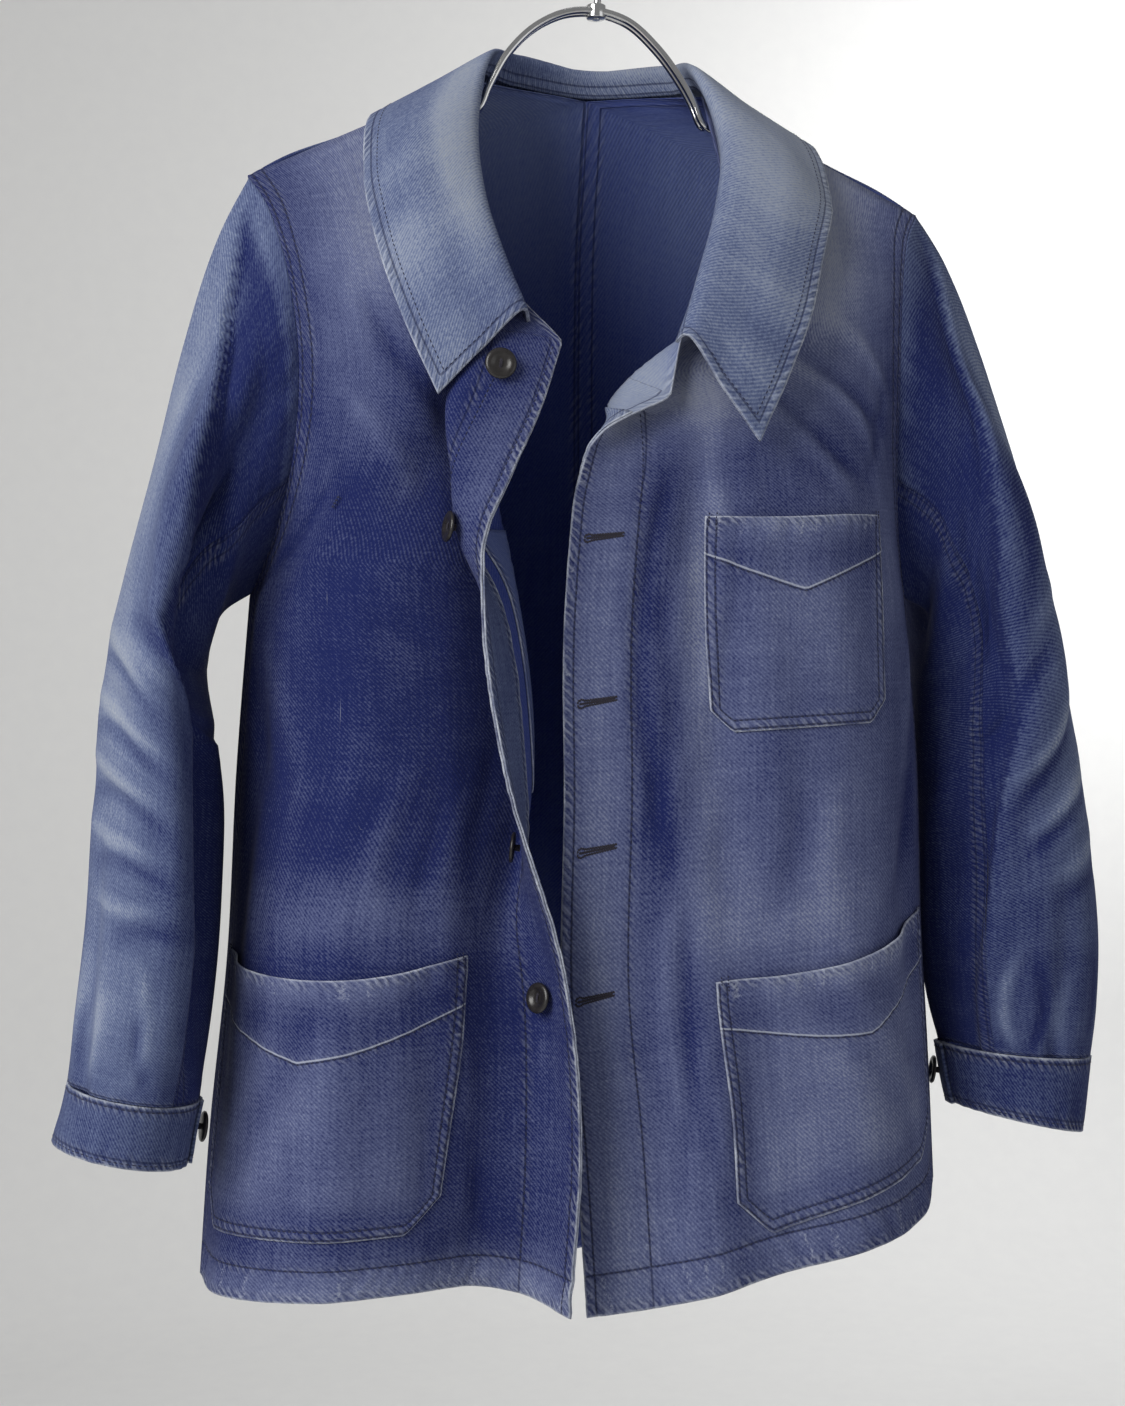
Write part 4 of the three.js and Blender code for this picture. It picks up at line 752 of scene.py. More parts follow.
def lay_collar():
    columns = collar_line()
    u = cells((0, 0.0035), (0.02, 0.0056), (0.98, 0.0035), (1, 1))
    share = cells((0, 0.034), (0.9, 0.02), (1, 1))
    lines = [measured(np.array([column(x) for column in columns])) for x in u]
    points = np.array([along(line, share * line[1][-1]) for line in lines]).transpose(1, 0, 2)
    lengths = np.array([line[1][-1] for line in lines])
    from_edge = (1 - share)[:, None] * lengths[None]
    round_it = chords(points[len(share) // 2])
    ends = np.minimum(round_it, round_it[-1] - round_it)[None]
    rim = np.minimum(from_edge, ends)
    detail = groove(rim, 7, 1.5, 0.35)
    detail = detail + 0.35 * ripple(round_it[None] + from_edge * 0.4, 15, 1) * np.exp(-((rim / 9) ** 2))
    detail = detail + 0.9 * ripple(round_it[None] * 1.0, 74, 2) * smooth(share, 0.3, 0.7)[:, None] * smooth(ends, 8, 40)
    cloth = Cloth(round_it, share, points, lambda p: p - np.array([0, -10, 690.0]))
    lifted = Cloth(round_it, share, points + cloth.normals * detail[..., None], lambda p: p - np.array([0, -10, 690.0]))
    CUT["collar"] = lifted
    LAID["collar_height"] = lengths
    return lifted, rim, detail


# Patches that are sewn on a front


POCKETS = {
    # name: front; s at the edge side, low and high; s at the other side, low and high; t of the
    # bottom at both sides; t of the top at five places; corner cut; flap line: depth at the
    # sides and at its point, and where the point is
    "pocket_right": ("front_right", (99, 80), (282, 284), (60, 58), (231, 219, 215, 219, 229), 24, (30, 50, 0.52)),
    "pocket_left": ("front_left", (98, 96), (270, 268), (80, 97), (233, 230, 231, 240, 252), 24, (30, 50, 0.58)),
    "pocket_chest": ("front_left", (93, 86), (217, 219), (373, 373), (502, 500, 500, 502, 503), 15, (25, 45, 0.5)),
}
# How faded each pocket is, and how much more so low down, where hands and things rub.
POCKET_FADE = {"pocket_right": (0.22, 0.22), "pocket_left": (0.38, 0.26), "pocket_chest": (0.4, 0.02)}


class Pocket:
    """Where a patch pocket lies on its front: across and up it from 0 to 1."""

    def __init__(self, name):
        row = POCKETS[name]
        self.front, self.near, self.far, self.low, self.high, self.cut, self.flap = row

    def s_of(self, across, up):
        return lerp(lerp(*self.near, up), lerp(*self.far, up), across)

    def bottom(self, across):
        wide = self.far[0] - self.near[0]
        inset = np.minimum(across, 1 - across) * wide
        return lerp(*self.low, across) + np.maximum(self.cut - inset, 0) * 0.95

    def top(self, across):
        return np.interp(across, np.linspace(0, 1, 25), np.convolve(
            np.interp(np.linspace(-0.125, 1.125, 31), np.linspace(0, 1, 5), self.high), np.ones(7) / 7, "valid"))

    def place(self, across, up):
        return self.s_of(across, up), lerp(self.bottom(across), self.top(across), up)

    def flap_depth(self, across):
        sides, point, at = self.flap
        share = np.where(across < at, across / at, (1 - across) / (1 - at))
        return lerp(sides, point, share)


def lay_pocket(name):
    pocket = Pocket(name)
    cloth = CUT[pocket.front]
    wide = pocket.far[0] - pocket.near[0]
    tall = pocket.high[0] - pocket.low[0]
    across = cells((0, 1.6 / wide), (10 / wide, 3.0 / wide), (1 - 10 / wide, 1.6 / wide), (1, 1))[None]
    up = cells((0, 1.6 / tall), (10 / tall, 3.0 / tall), (1 - 16 / tall, 1.6 / tall), (1, 1))[:, None]
    s, t = np.broadcast_arrays(*pocket.place(across, up))
    from_near, from_far = across * wide + 0 * up, (1 - across) * wide + 0 * up
    rim = np.minimum(np.minimum(from_near, from_far), t - pocket.bottom(across))
    from_top = pocket.top(across) - t
    flap = from_top - pocket.flap_depth(across)
    out = CLOTH + GAP + 0.5 * smooth(rim, 0, 4) * smooth(14 - rim, 0, 8)
    out = out + 2.4 * np.exp(-((from_top / 15) ** 2)) * smooth(rim, 2, 50)
    out = out + 1.0 * smooth(rim, 8, 45)
    out = out + groove(rim, 1.6, 1.0, 0.25) + groove(rim, 7, 1.3, 0.5) * smooth(from_top, 0, 8)
    out = out + groove(flap, 0, 1.3, 0.6) + 0.6 * np.exp(-(((flap + 1.8) / 1.4) ** 2))
    out = out + 0.45 * ripple(s + t, 12, wide) * np.exp(-(((rim - 4) / 4) ** 2))
    out = out + 0.6 * ripple(s, 12, tall) * np.exp(-(((from_top - 7) / 7) ** 2))
    out = out + 0.6 * ripple(s * 0.8 + t * 0.5, 43, 2) * smooth(rim, 10, 40)
    points, _ = cloth.at(s, t, np.maximum(out, CLOTH + 0.1))
    CUT[name] = Cloth(across[0], up[:, 0], points, (0, -1, 0))
    return CUT[name], rim, from_top, flap, out, np.stack([s, t], axis=-1)


def lay_inside(name, front, s_from, s_to, t_from, t_to, thickness, cut=0):
    """A facing or the inner pocket, on the inside of a front."""
    cloth = CUT[front]
    s = cells((s_from, 2.4), (s_to, 1))
    share = cells((0, 3.0 / (t_to - t_from)), (1, 1))
    inset = np.minimum(s - s_from, s_to - s)
    bottom = t_from + np.maximum(cut - inset, 0) * 0.95
    heights = lerp(bottom[None], t_to, share[:, None])
    across = np.broadcast_to(s[None], heights.shape)
    rim = np.minimum(np.minimum(across - s_from, s_to - across), heights - bottom[None])
    out = -(CLOTH / 2 + GAP + thickness / 2) - 0.4 * smooth(rim, 4, 24)
    points, _ = cloth.at(across, heights, out)
    CUT[name] = Cloth(s, share, points, (0, 1, 0))
    return CUT[name], rim


# Meshes


FAR = 40.0  # a distance at which nothing shows


def cloth_piece(name, cloth, thickness, materials, fade_and_painted_light, wear=0.0, rim=FAR, rows=(), ridge=FAR, uv=None):
    """A thin shell over a Cloth's points, with its cloth map and the facts of its finish.

    rim is how far the turned edge is, rows how far up to six stitched rows are and ridge how
    far a raised line is, in millimetres, so that each stays sharp between the mesh's points.
    """
    shape = cloth.points.shape[:2]
    mesh = bpy.data.meshes.new(name)
    bm = bmesh.new()
    bmesh.ops.create_grid(bm, x_segments=shape[1] - 1, y_segments=shape[0] - 1, size=0.5)
    if cloth.turned:
        bmesh.ops.reverse_faces(bm, faces=bm.faces[:])
    bm.to_mesh(mesh)
    bm.free()
    start = np.empty(len(mesh.vertices) * 3)
    mesh.vertices.foreach_get("co", start)
    start = start.reshape(-1, 3) + 0.5
    i = np.rint(start[:, 0] * (shape[1] - 1)).astype(int)
    j = np.rint(start[:, 1] * (shape[0] - 1)).astype(int)
    mesh.vertices.foreach_set("co", shown(cloth.points)[j, i].ravel())
    if uv is None:
        uv = np.stack(np.meshgrid(cloth.s, cloth.t), axis=-1)
    corners = np.empty(len(mesh.loops), int)
    mesh.loops.foreach_get("vertex_index", corners)
    # The twill leans the same way on every piece, so a mirrored piece has its map mirrored.
    hand = np.array([-MM if cloth.turned else MM, MM])
    layer = mesh.uv_layers.new(name="cloth")
    layer.data.foreach_set("uv", (uv[j, i] * hand)[corners].ravel())
    # The faded level holds real fading and, on the sleeves and the inside of the back, painted light and shade.
    for key, values in (("fade_and_painted_light", fade_and_painted_light), ("wear", wear), ("rim", rim), ("ridge", ridge)):
        values = np.broadcast_to(np.clip(values, -FAR, FAR), shape)
        attribute = mesh.attributes.new(key, "FLOAT", "POINT")
        attribute.data.foreach_set("value", values[j, i].astype(float).ravel())
    held = [np.broadcast_to(np.clip(row, -FAR, FAR), shape) for row in rows]
    held += [np.full(shape, FAR)] * (6 - len(held))
    for key, three in (("rows_a", held[:3]), ("rows_b", held[3:])):
        attribute = mesh.attributes.new(key, "FLOAT_VECTOR", "POINT")
        attribute.data.foreach_set("vector", np.stack(three, axis=-1)[j, i].astype(float).ravel())
    for material in materials:
        mesh.materials.append(material)
    mesh.shade_smooth()
    mesh.update()
    piece = bpy.data.objects.new(name, mesh)
    bpy.context.scene.collection.objects.link(piece)
    shell = piece.modifiers.new("thickness", "SOLIDIFY")
    shell.thickness = thickness * MM
    shell.offset = 0.0
    shell.material_offset = len(materials) - 1
    shell.material_offset_rim = 0
    return piece


def pair(distance, first, second):
    """One field that is zero at both distances, for two rows of stitches."""
    return np.abs(distance - (first + second) / 2) - (second - first) / 2


def carry(piece, slot, *nodes):
    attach(piece, "root")
    if nodes:
        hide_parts(*nodes)
    return piece


def mesh_piece(name, bm, material, slot, *nodes, smooth_shaded=True):
    """An object from a bmesh whose lengths are garment millimetres."""
    for vert in bm.verts:
        vert.co = Vector((vert.co.x, vert.co.y, vert.co.z - RAIL_HEIGHT)) * MM
    mesh = bpy.data.meshes.new(name)
    bm.to_mesh(mesh)
    bm.free()
    mesh.materials.append(material)
    if smooth_shaded:
        mesh.shade_smooth()
    piece = bpy.data.objects.new(name, mesh)
    bpy.context.scene.collection.objects.link(piece)
    return carry(piece, slot, *nodes)


def turned_to(direction, normal, place):
    """A matrix whose x runs along a stitch and whose z stands on the cloth."""
    x = Vector(direction).normalized()
    z = Vector(normal).normalized()
    y = z.cross(x).normalized()
    z = x.cross(y)
    return Matrix.Translation(Vector(place)) @ Matrix((x, y, z)).transposed().to_4x4()


def sew(total, cloth, s, t, out, stitch, gap, thickness):
    """A row of stitches along s, t on a sheet, added to the bmesh total."""
    s, t = np.broadcast_arrays(np.asarray(s, float), np.asarray(t, float))
    points, normals = cloth.at(s, t, out)
    lengths = chords(points)
    count = max(1, int(lengths[-1] / (stitch + gap)))
    row = bmesh.new()
    for k in range(count):
        span = (k + 0.5) / count * lengths[-1] + np.array([-0.5, 0.0, 0.5]) * stitch
        ends = np.stack([np.interp(span, lengths, points[:, c]) for c in range(3)], axis=-1)
        normal = [np.interp(span[1], lengths, normals[:, c]) for c in range(3)]
        shape = turned_to(ends[2] - ends[0], normal, ends[1])
        shape = shape @ Matrix.Diagonal((stitch / 2 * 1.06, thickness / 2, thickness / 2 * 0.8, 1))
        bmesh.ops.create_icosphere(row, subdivisions=1, radius=1, matrix=shape)
    held = bpy.data.meshes.new("row")
    row.to_mesh(held)
    row.free()
    total.from_mesh(held)
    bpy.data.meshes.remove(held)


# Materials


def linear(code):
    """sRGB hex to linear red, green and blue."""
    values = [int(code[k:k + 2], 16) / 255 for k in (0, 2, 4)]
    return tuple(v / 12.92 if v <= 0.04045 else ((v + 0.055) / 1.055) ** 2.4 for v in values)


def node(tree, kind, inputs=None, out=None, **settings):
    """Adds a node, with its settings, and its inputs as values or as sockets to link."""
    made = tree.nodes.new("ShaderNode" + kind)
    for key, value in settings.items():
        setattr(made, key, value)
    for key, value in (inputs or {}).items():
        if isinstance(value, bpy.types.NodeSocket):
            tree.links.new(value, made.inputs[key])
        else:
            made.inputs[key].default_value = value
    return made if out is None else made.outputs[out]


def new_material(name):
    material = bpy.data.materials.new(name)
    material.use_nodes = True
    tree = material.node_tree
    tree.nodes.clear()
    return material, tree


def cotton_drill(name, deep, faded, worn, bare_yarn, thread, fade_from, fade_to, mottle, fleck):
    """Piece-dyed cotton drill, woven as a 3/1 twill, washed and rubbed for years.

    The dye stays deep where nothing rubs, greys on what rubs, and is gone from the turned edges.
    The faded level that each piece brings also holds painted light and shade on some pieces.
    Beside each row of stitches the cloth puckers: the tops of the puckers are pale from rubbing,
    and the dips between them are darkened with painted shade. Under each row a dark line in the
    thread's colour is a painted shadow of the groove that the stitches pull. Real twill lines are
    0.9 mm apart; they are drawn at 1.8 mm to show.
    """
    material, tree = new_material(name)
    place = node(tree, "TexCoord", out="UV")
    fade_and_painted_light = node(tree, "Attribute", out="Fac", attribute_name="fade_and_painted_light")
    wear = node(tree, "Attribute", out="Fac", attribute_name="wear")
    rim = node(tree, "Attribute", out="Fac", attribute_name="rim")
    ridge = node(tree, "Attribute", out="Fac", attribute_name="ridge")
    # How far the nearest row of stitches is.
    nearest = None
    for key in ("rows_a", "rows_b"):
        held = node(tree, "Attribute", out="Vector", attribute_name=key)
        size = node(tree, "VectorMath", {0: held}, "Vector", operation="ABSOLUTE")
        for part in node(tree, "SeparateXYZ", {0: size}).outputs:
            nearest = part if nearest is None else node(tree, "Math", {0: nearest, 1: part}, 0, operation="MINIMUM")
    # The weave, its uneven yarns, and the clouds of the washing.
    twill = node(tree, "TexWave", {"Vector": place, "Scale": 246.0, "Distortion": 1.2, "Detail": 2.0,
                 "Detail Scale": 2.2}, "Fac", wave_type="BANDS", bands_direction="DIAGONAL")
    grain = node(tree, "TexNoise", {"Vector": place, "Scale": 520.0, "Detail": 3.0, "Roughness": 0.7}, "Fac")
    cloud = node(tree, "TexNoise", {"Vector": place, "Scale": 24.0, "Detail": 4.0, "Roughness": 0.62}, "Fac")
    warp = node(tree, "Mapping", {"Vector": place, "Scale": (430.0, 14.0, 1.0)}, 0)
    streak = node(tree, "TexNoise", {"Vector": warp, "Scale": 1.0, "Detail": 3.0}, "Fac")
    weft = node(tree, "Mapping", {"Vector": place, "Scale": (14.0, 430.0, 1.0)}, 0)
    slub = node(tree, "TexNoise", {"Vector": weft, "Scale": 1.0, "Detail": 3.0}, "Fac")
    # Puckers, 7 mm from one to the next, slanting over the turned edges and along the rows.
    wave = node(tree, "TexWave", {"Vector": place, "Scale": 104.0, "Distortion": 6.0, "Detail": 2.5,
                "Detail Scale": 0.9}, "Fac", wave_type="BANDS", bands_direction="DIAGONAL")
    tops = node(tree, "MapRange", {"Value": wave, "From Min": 0.35, "From Max": 0.95}, 0)
    along = node(tree, "TexNoise", {"Vector": place, "Scale": 45.0, "Detail": 2.0}, "Fac")
    strong = node(tree, "MapRange", {"Value": along, "From Min": 0.3, "From Max": 0.68, "To Min": 0.12}, 0)
    turned = node(tree, "MapRange", {"Value": rim, "From Min": 7.5, "From Max": 3.5}, 0)
    beside = node(tree, "MapRange", {"Value": nearest, "From Min": 5.0, "From Max": 1.0, "To Max": 0.5}, 0)
    zone = node(tree, "Math", {0: turned, 1: beside}, 0, operation="MAXIMUM")
    zone = node(tree, "Math", {0: zone, 1: strong}, 0, operation="MULTIPLY")
    pale = node(tree, "Math", {0: zone, 1: tops}, 0, operation="MULTIPLY")
    # The dips between the puckers: the mask of their painted shade.
    shaded_pucker_dips = node(tree, "Math", {0: zone, 1: pale}, 0, operation="SUBTRACT")
    level = node(tree, "MapRange", {"Value": fade_and_painted_light, "To Min": fade_from, "To Max": fade_to}, 0)
    for source, share in ((cloud, mottle), (streak, mottle * 0.75), (slub, mottle * 0.5), (grain, mottle * 2.4), (twill, fleck)):
        centred = node(tree, "Math", {0: source, 1: 0.5}, 0, operation="SUBTRACT")
        level = node(tree, "Math", {0: centred, 1: share * 2, 2: level}, 0, operation="MULTIPLY_ADD")
    colour = node(tree, "Mix", {"Factor": level, "A": (*deep, 1), "B": (*faded, 1)}, "Result",
                  data_type="RGBA", clamp_factor=True)
    rough = node(tree, "Math", {0: grain, 1: 0.5}, 0, operation="SUBTRACT")
    frayed = node(tree, "Math", {0: rough, 1: 2.6, 2: rim}, 0, operation="MULTIPLY_ADD")
    bare = node(tree, "MapRange", {"Value": frayed, "From Min": 1.25, "From Max": 0.1, "To Max": 0.8}, 0)
    bare = node(tree, "Math", {0: bare, 1: strong}, 0, operation="MULTIPLY")
    soft = node(tree, "Math", {0: rough, 1: 1.1, 2: wear}, 0, operation="MULTIPLY_ADD")
    rubbed = node(tree, "MapRange", {"Value": soft, "From Min": 0.25, "From Max": 1.2}, 0)
    raised = node(tree, "Math", {0: ridge}, 0, operation="ABSOLUTE")
    raised = node(tree, "MapRange", {"Value": raised, "From Min": 0.8, "From Max": 0.3, "To Max": 0.5}, 0)
    # A dark line in the thread's colour along each row: painted shadow of the groove that the stitches pull.
    painted_groove_shadow = node(tree, "MapRange", {"Value": nearest, "From Min": 0.9, "From Max": 0.35, "To Max": 0.6}, 0)
    # Painted shade for the dips between the puckers, half as bright as the deepest dye.
    painted_shade_tone = (*[c * 0.5 for c in deep], 1)
    pucker = node(tree, "Math", {0: pale, 1: 0.27}, 0, operation="MULTIPLY")
    painted_pucker_shade = node(tree, "Math", {0: shaded_pucker_dips, 1: 0.36}, 0, operation="MULTIPLY")
    # Worn right through, the yarn is no longer blue but a warm grey.
    bleached = node(tree, "MapRange", {"Value": level, "From Min": 0.55, "From Max": 1.3, "To Max": 0.8}, 0)
    for share, tone in ((bleached, (*bare_yarn, 1)), (painted_pucker_shade, painted_shade_tone), (pucker, (*worn, 1)), (rubbed, (*worn, 1)),
                        (painted_groove_shadow, (*thread, 1)), (raised, (*worn, 1)), (bare, (*worn, 1))):
        colour = node(tree, "Mix", {"Factor": share, "A": colour, "B": tone}, "Result", data_type="RGBA",
                      clamp_factor=True)
    rise = node(tree, "Math", {0: grain, 1: 0.6, 2: twill}, 0, operation="MULTIPLY_ADD")
    weave = node(tree, "Bump", {"Height": rise, "Strength": 0.5, "Distance": 0.00022}, "Normal")
    crumple = node(tree, "TexNoise", {"Vector": place, "Scale": 70.0, "Detail": 2.5, "Roughness": 0.5}, "Fac")
    bump = node(tree, "Bump", {"Height": crumple, "Strength": 0.5, "Distance": 0.0013, "Normal": weave}, "Normal")
    sewn = node(tree, "Math", {0: pale, 1: painted_groove_shadow}, 0, operation="SUBTRACT")
    bump = node(tree, "Bump", {"Height": sewn, "Strength": 0.7, "Distance": 0.0006, "Normal": bump}, "Normal")
    shader = node(tree, "BsdfPrincipled", {"Base Color": colour, "Roughness": 0.92, "Normal": bump,
                  "Specular IOR Level": 0.08, "Sheen Weight": 0.03, "Sheen Roughness": 0.6}, "BSDF")
    node(tree, "OutputMaterial", {"Surface": shader})
    return material


def sewing_thread(name, colour):
    """Spun cotton thread: matt, a little paler where it stands proud."""
    material, tree = new_material(name)
    place = node(tree, "TexCoord", out="Object")
    twist = node(tree, "TexNoise", {"Vector": place, "Scale": 420.0, "Detail": 2.0}, "Fac")
    shade = node(tree, "Mix", {"Factor": twist, "A": (*[c * 0.55 for c in colour], 1), "B": (*colour, 1)},
                 "Result", data_type="RGBA")
    shader = node(tree, "BsdfPrincipled", {"Base Color": shade, "Roughness": 0.85, "Sheen Weight": 0.2}, "BSDF")
    node(tree, "OutputMaterial", {"Surface": shader})
    return material


def moulded_button(name, colour):
    """Moulded black resin: nearly black, glossy where fingers polish it, with faint flow marks."""
    material, tree = new_material(name)
    place = node(tree, "TexCoord", out="Object")
    flow = node(tree, "TexNoise", {"Vector": place, "Scale": 240.0, "Detail": 3.0, "Distortion": 1.5}, "Fac")
    shade = node(tree, "Mix", {"Factor": flow, "A": (*colour, 1), "B": (*[min(1, c * 2.6) for c in colour], 1)},
                 "Result", data_type="RGBA")
    rub = node(tree, "MapRange", {"Value": flow, "To Min": 0.2, "To Max": 0.42}, 0)
    shader = node(tree, "BsdfPrincipled", {"Base Color": shade, "Roughness": rub, "IOR": 1.54}, "BSDF")
    node(tree, "OutputMaterial", {"Surface": shader})
    return material


def chromed_steel(name):
    """Steel rod, polished and chromed: a mirror with a faint haze from handling."""
    material, tree = new_material(name)
    place = node(tree, "TexCoord", out="Object")
    haze = node(tree, "TexNoise", {"Vector": place, "Scale": 60.0, "Detail": 3.0}, "Fac")
    rough = node(tree, "MapRange", {"Value": haze, "To Min": 0.06, "To Max": 0.2}, 0)
    tint = node(tree, "Mix", {"Factor": haze, "A": (*linear("c3c4c8"), 1), "B": (*linear("e4e4e2"), 1)},
                "Result", data_type="RGBA")
    shader = node(tree, "BsdfPrincipled", {"Base Color": tint, "Metallic": 1.0, "Roughness": rough}, "BSDF")
    node(tree, "OutputMaterial", {"Surface": shader})
    return material


def painted_wall(name):
    """Matt wall paint, nearly plain."""
    material, tree = new_material(name)
    place = node(tree, "TexCoord", out="Object")
    stipple = node(tree, "TexNoise", {"Vector": place, "Scale": 30.0, "Detail": 2.0}, "Fac")
    shade = node(tree, "Mix", {"Factor": stipple, "A": (*linear("e6e6e6"), 1), "B": (*linear("ebebea"), 1)},
                 "Result", data_type="RGBA")
    shader = node(tree, "BsdfPrincipled", {"Base Color": shade, "Roughness": 0.95}, "BSDF")
    node(tree, "OutputMaterial", {"Surface": shader})
    return material


MATERIALS = {}


def finishes():
    """The jacket's materials, made once from the colours in the panel."""
    if MATERIALS:
        return MATERIALS
    hues = bpy.context.scene.jacket_colours
    deep, faded, worn = tuple(hues.indigo), tuple(hues.faded), tuple(hues.worn)
    inside, yarn, thread = tuple(hues.inside), tuple(hues.yarn), tuple(hues.thread)
    MATERIALS.update({
        "drill": cotton_drill("cotton drill, faded outside", deep, faded, worn, yarn, thread, 0.0, 1.0, 0.2, 0.13),
        "front_drill": cotton_drill("cotton drill, faded fronts", deep, tuple(hues.faded_fronts), worn, yarn, thread,
                                    0.0, 1.0, 0.2, 0.12),
        "inside": cotton_drill("cotton drill, unfaded inside", inside, faded, worn, yarn, thread, 0.08, 0.9, 0.1, 0.06),
        "thread": sewing_thread("topstitching thread", thread),
        "dark_thread": sewing_thread("buttonhole thread", linear("242030")),
        "pale_thread": sewing_thread("frayed cotton thread", linear("b4b8c8")),
        "button": moulded_button("moulded black resin", tuple(hues.button)),
        "chrome": chromed_steel("chromed steel rod"),
    })
    return MATERIALS


# Properties


class JacketColours(bpy.types.PropertyGroup):
    indigo: FloatVectorProperty(name="Indigo", description="Dye where it has stayed deep", subtype="COLOR",
                                size=3, min=0, max=1, default=linear("1b2457"))
    faded: FloatVectorProperty(name="Faded", description="Dye where the cloth is rubbed and washed out",
                               subtype="COLOR", size=3, min=0, max=1, default=linear("7c8aab"))
    faded_fronts: FloatVectorProperty(name="Faded fronts", description="The same on the fronts, a little redder",
                                      subtype="COLOR", size=3, min=0, max=1, default=linear("7d86aa"))
    worn: FloatVectorProperty(name="Worn edge", description="Bare thread on edges and seams", subtype="COLOR",
                              size=3, min=0, max=1, default=linear("c9cfdb"))
    yarn: FloatVectorProperty(name="Bare yarn", description="Where the dye is worn right off", subtype="COLOR",
                              size=3, min=0, max=1, default=linear("a0a4a9"))
    inside: FloatVectorProperty(name="Inside", description="The unfaded inside of the cloth", subtype="COLOR",
                                size=3, min=0, max=1, default=linear("2c3a80"))
    thread: FloatVectorProperty(name="Thread", description="Topstitching", subtype="COLOR",
                                size=3, min=0, max=1, default=linear("1b2144"))
    button: FloatVectorProperty(name="Button", description="Moulded buttons", subtype="COLOR",
                                size=3, min=0, max=1, default=linear("1a1818"))


class JacketSizes(bpy.types.PropertyGroup):
    stitch: FloatProperty(name="Stitch", description="Length of a stitch", default=2.5 * MM, min=0.001,
                          max=0.006, unit="LENGTH")
    stitch_gap: FloatProperty(name="Stitch gap", description="Between two stitches", default=1.1 * MM,
                              min=0.0002, max=0.004, unit="LENGTH")
    thread: FloatProperty(name="Thread", description="Thickness of the topstitching thread",
                          default=0.75 * MM, min=0.0003, max=0.002, unit="LENGTH")
    button: FloatProperty(name="Button radius", description="Radius of a front button", default=9.5 * MM,
                          min=0.006, max=0.015, unit="LENGTH")
    floor_drop: FloatProperty(name="Floor", description="Rail down to the floor", default=1.75,
                              min=1.0, max=3.0, unit="LENGTH")


def ready():
    """Lays all the cloth once, in the order in which the pieces are sewn."""
    if CUT:
        return
    for name in PANELS:
        LAID[name] = lay_body(name)
    for side in ("right", "left"):
        for kind in ("top", "under"):
            LAID["sleeve_%s_%s" % (kind, side)] = lay_sleeve(side, kind)
        LAID["cuff_" + side] = lay_cuff(side)
    LAID["collar"] = lay_collar()
    for name in POCKETS:
        LAID[name] = lay_pocket(name)
    LAID["facing_right"] = lay_inside("facing_right", "front_right", 0, PLACKET, 20, 612, FACING)
    LAID["facing_left"] = lay_inside("facing_left", "front_left", 0, PLACKET, 60, 606, FACING)
    LAID["pocket_inner"] = lay_inside("pocket_inner", "front_right", 56, 195, 306, 492, POCKETING, 24)


LAID = {}


def inner_pocket_rows(s, t):
    """The stitches that hold the inner pocket show outside: down, round a corner and across."""
    found = []
    for (s0, t0), (s1, t1) in zip(INNER_POCKET_LINE, INNER_POCKET_LINE[1:]):
        length = math.hypot(s1 - s0, t1 - t0)
        off = ((s - s0) * (t1 - t0) - (t - t0) * (s1 - s0)) / length
        share = ((s - s0) * (s1 - s0) + (t - t0) * (t1 - t0)) / length ** 2
        found.append(np.where((share > -0.01) & (share < 1.01), off, FAR))
    return found


class JACKET_OT_body(bpy.types.Operator):
    """Makes the two fronts and the two halves of the back"""

    bl_idname = "jacket.body"
    bl_label = "Fronts and back"

    def execute(self, context):
        ready()
        made = finishes()
        for name in PANELS:
            cloth, detail = LAID[name]
            side = cloth.reach[:, -1:] - cloth.reach
            up = (cloth.t - cloth.t[0])[:, None]
            front = name.startswith("front")
            rise = PANELS[name].rise
            height = np.broadcast_to(cloth.t[:, None], side.shape)
            across = np.broadcast_to(cloth.s[None], side.shape)
            rim, sides = up + 0 * side, pair(side, 3, 10)
            # Where the turned hem ropes, every other block is rubbed.
            blocks = ripple(across + 0.25 * up, 14, cloth.t[0]) * smooth(19.5 - up, 0, 2)
            wear = 0.45 * np.clip(blocks - 0.1, 0, 1)
            if front:
                rim = np.minimum(rim, np.where(height < rise[CORNER_ROW + 1], cloth.reach, FAR))
                edge = np.where(height < rise[CORNER_ROW] + 2, pair(cloth.reach, 6.5, PLACKET), FAR)
                rows = [edge, up - 20, sides]
                blocks = ripple(height + 0.4 * across, 11, 3) * smooth(6.5 - cloth.reach, 0, 1.5)
                wear = wear + 0.4 * np.clip(blocks - 0.1, 0, 1) * (height < rise[CORNER_ROW])
            else:
                centre = pair(cloth.reach, 1.5, 11) if name == "back_left" else cloth.reach - 1.5
                rows = [centre, up - 20, sides]
            ridge = np.full(across.shape, FAR)
            if name == "front_right":
                for seam in inner_pocket_rows(across, height):
                    faint = np.abs(seam) + 0.45
                    ridge = np.where(faint < np.abs(ridge), faint, ridge)
            fade_and_painted_light = blobs(FADE_AND_PAINTED_LIGHT[name], across, height) + 0.1 * np.clip(detail, -1.5, 2) + (0.09 if name == "front_left" else -0.03)
            outside = made["front_drill" if front else "drill"]
            piece = cloth_piece("cloth_" + name, cloth, CLOTH, [outside, made["inside"]], fade_and_painted_light, wear, rim, rows,
                                ridge)
            carry(piece, "drill", name)
        return {"FINISHED"}


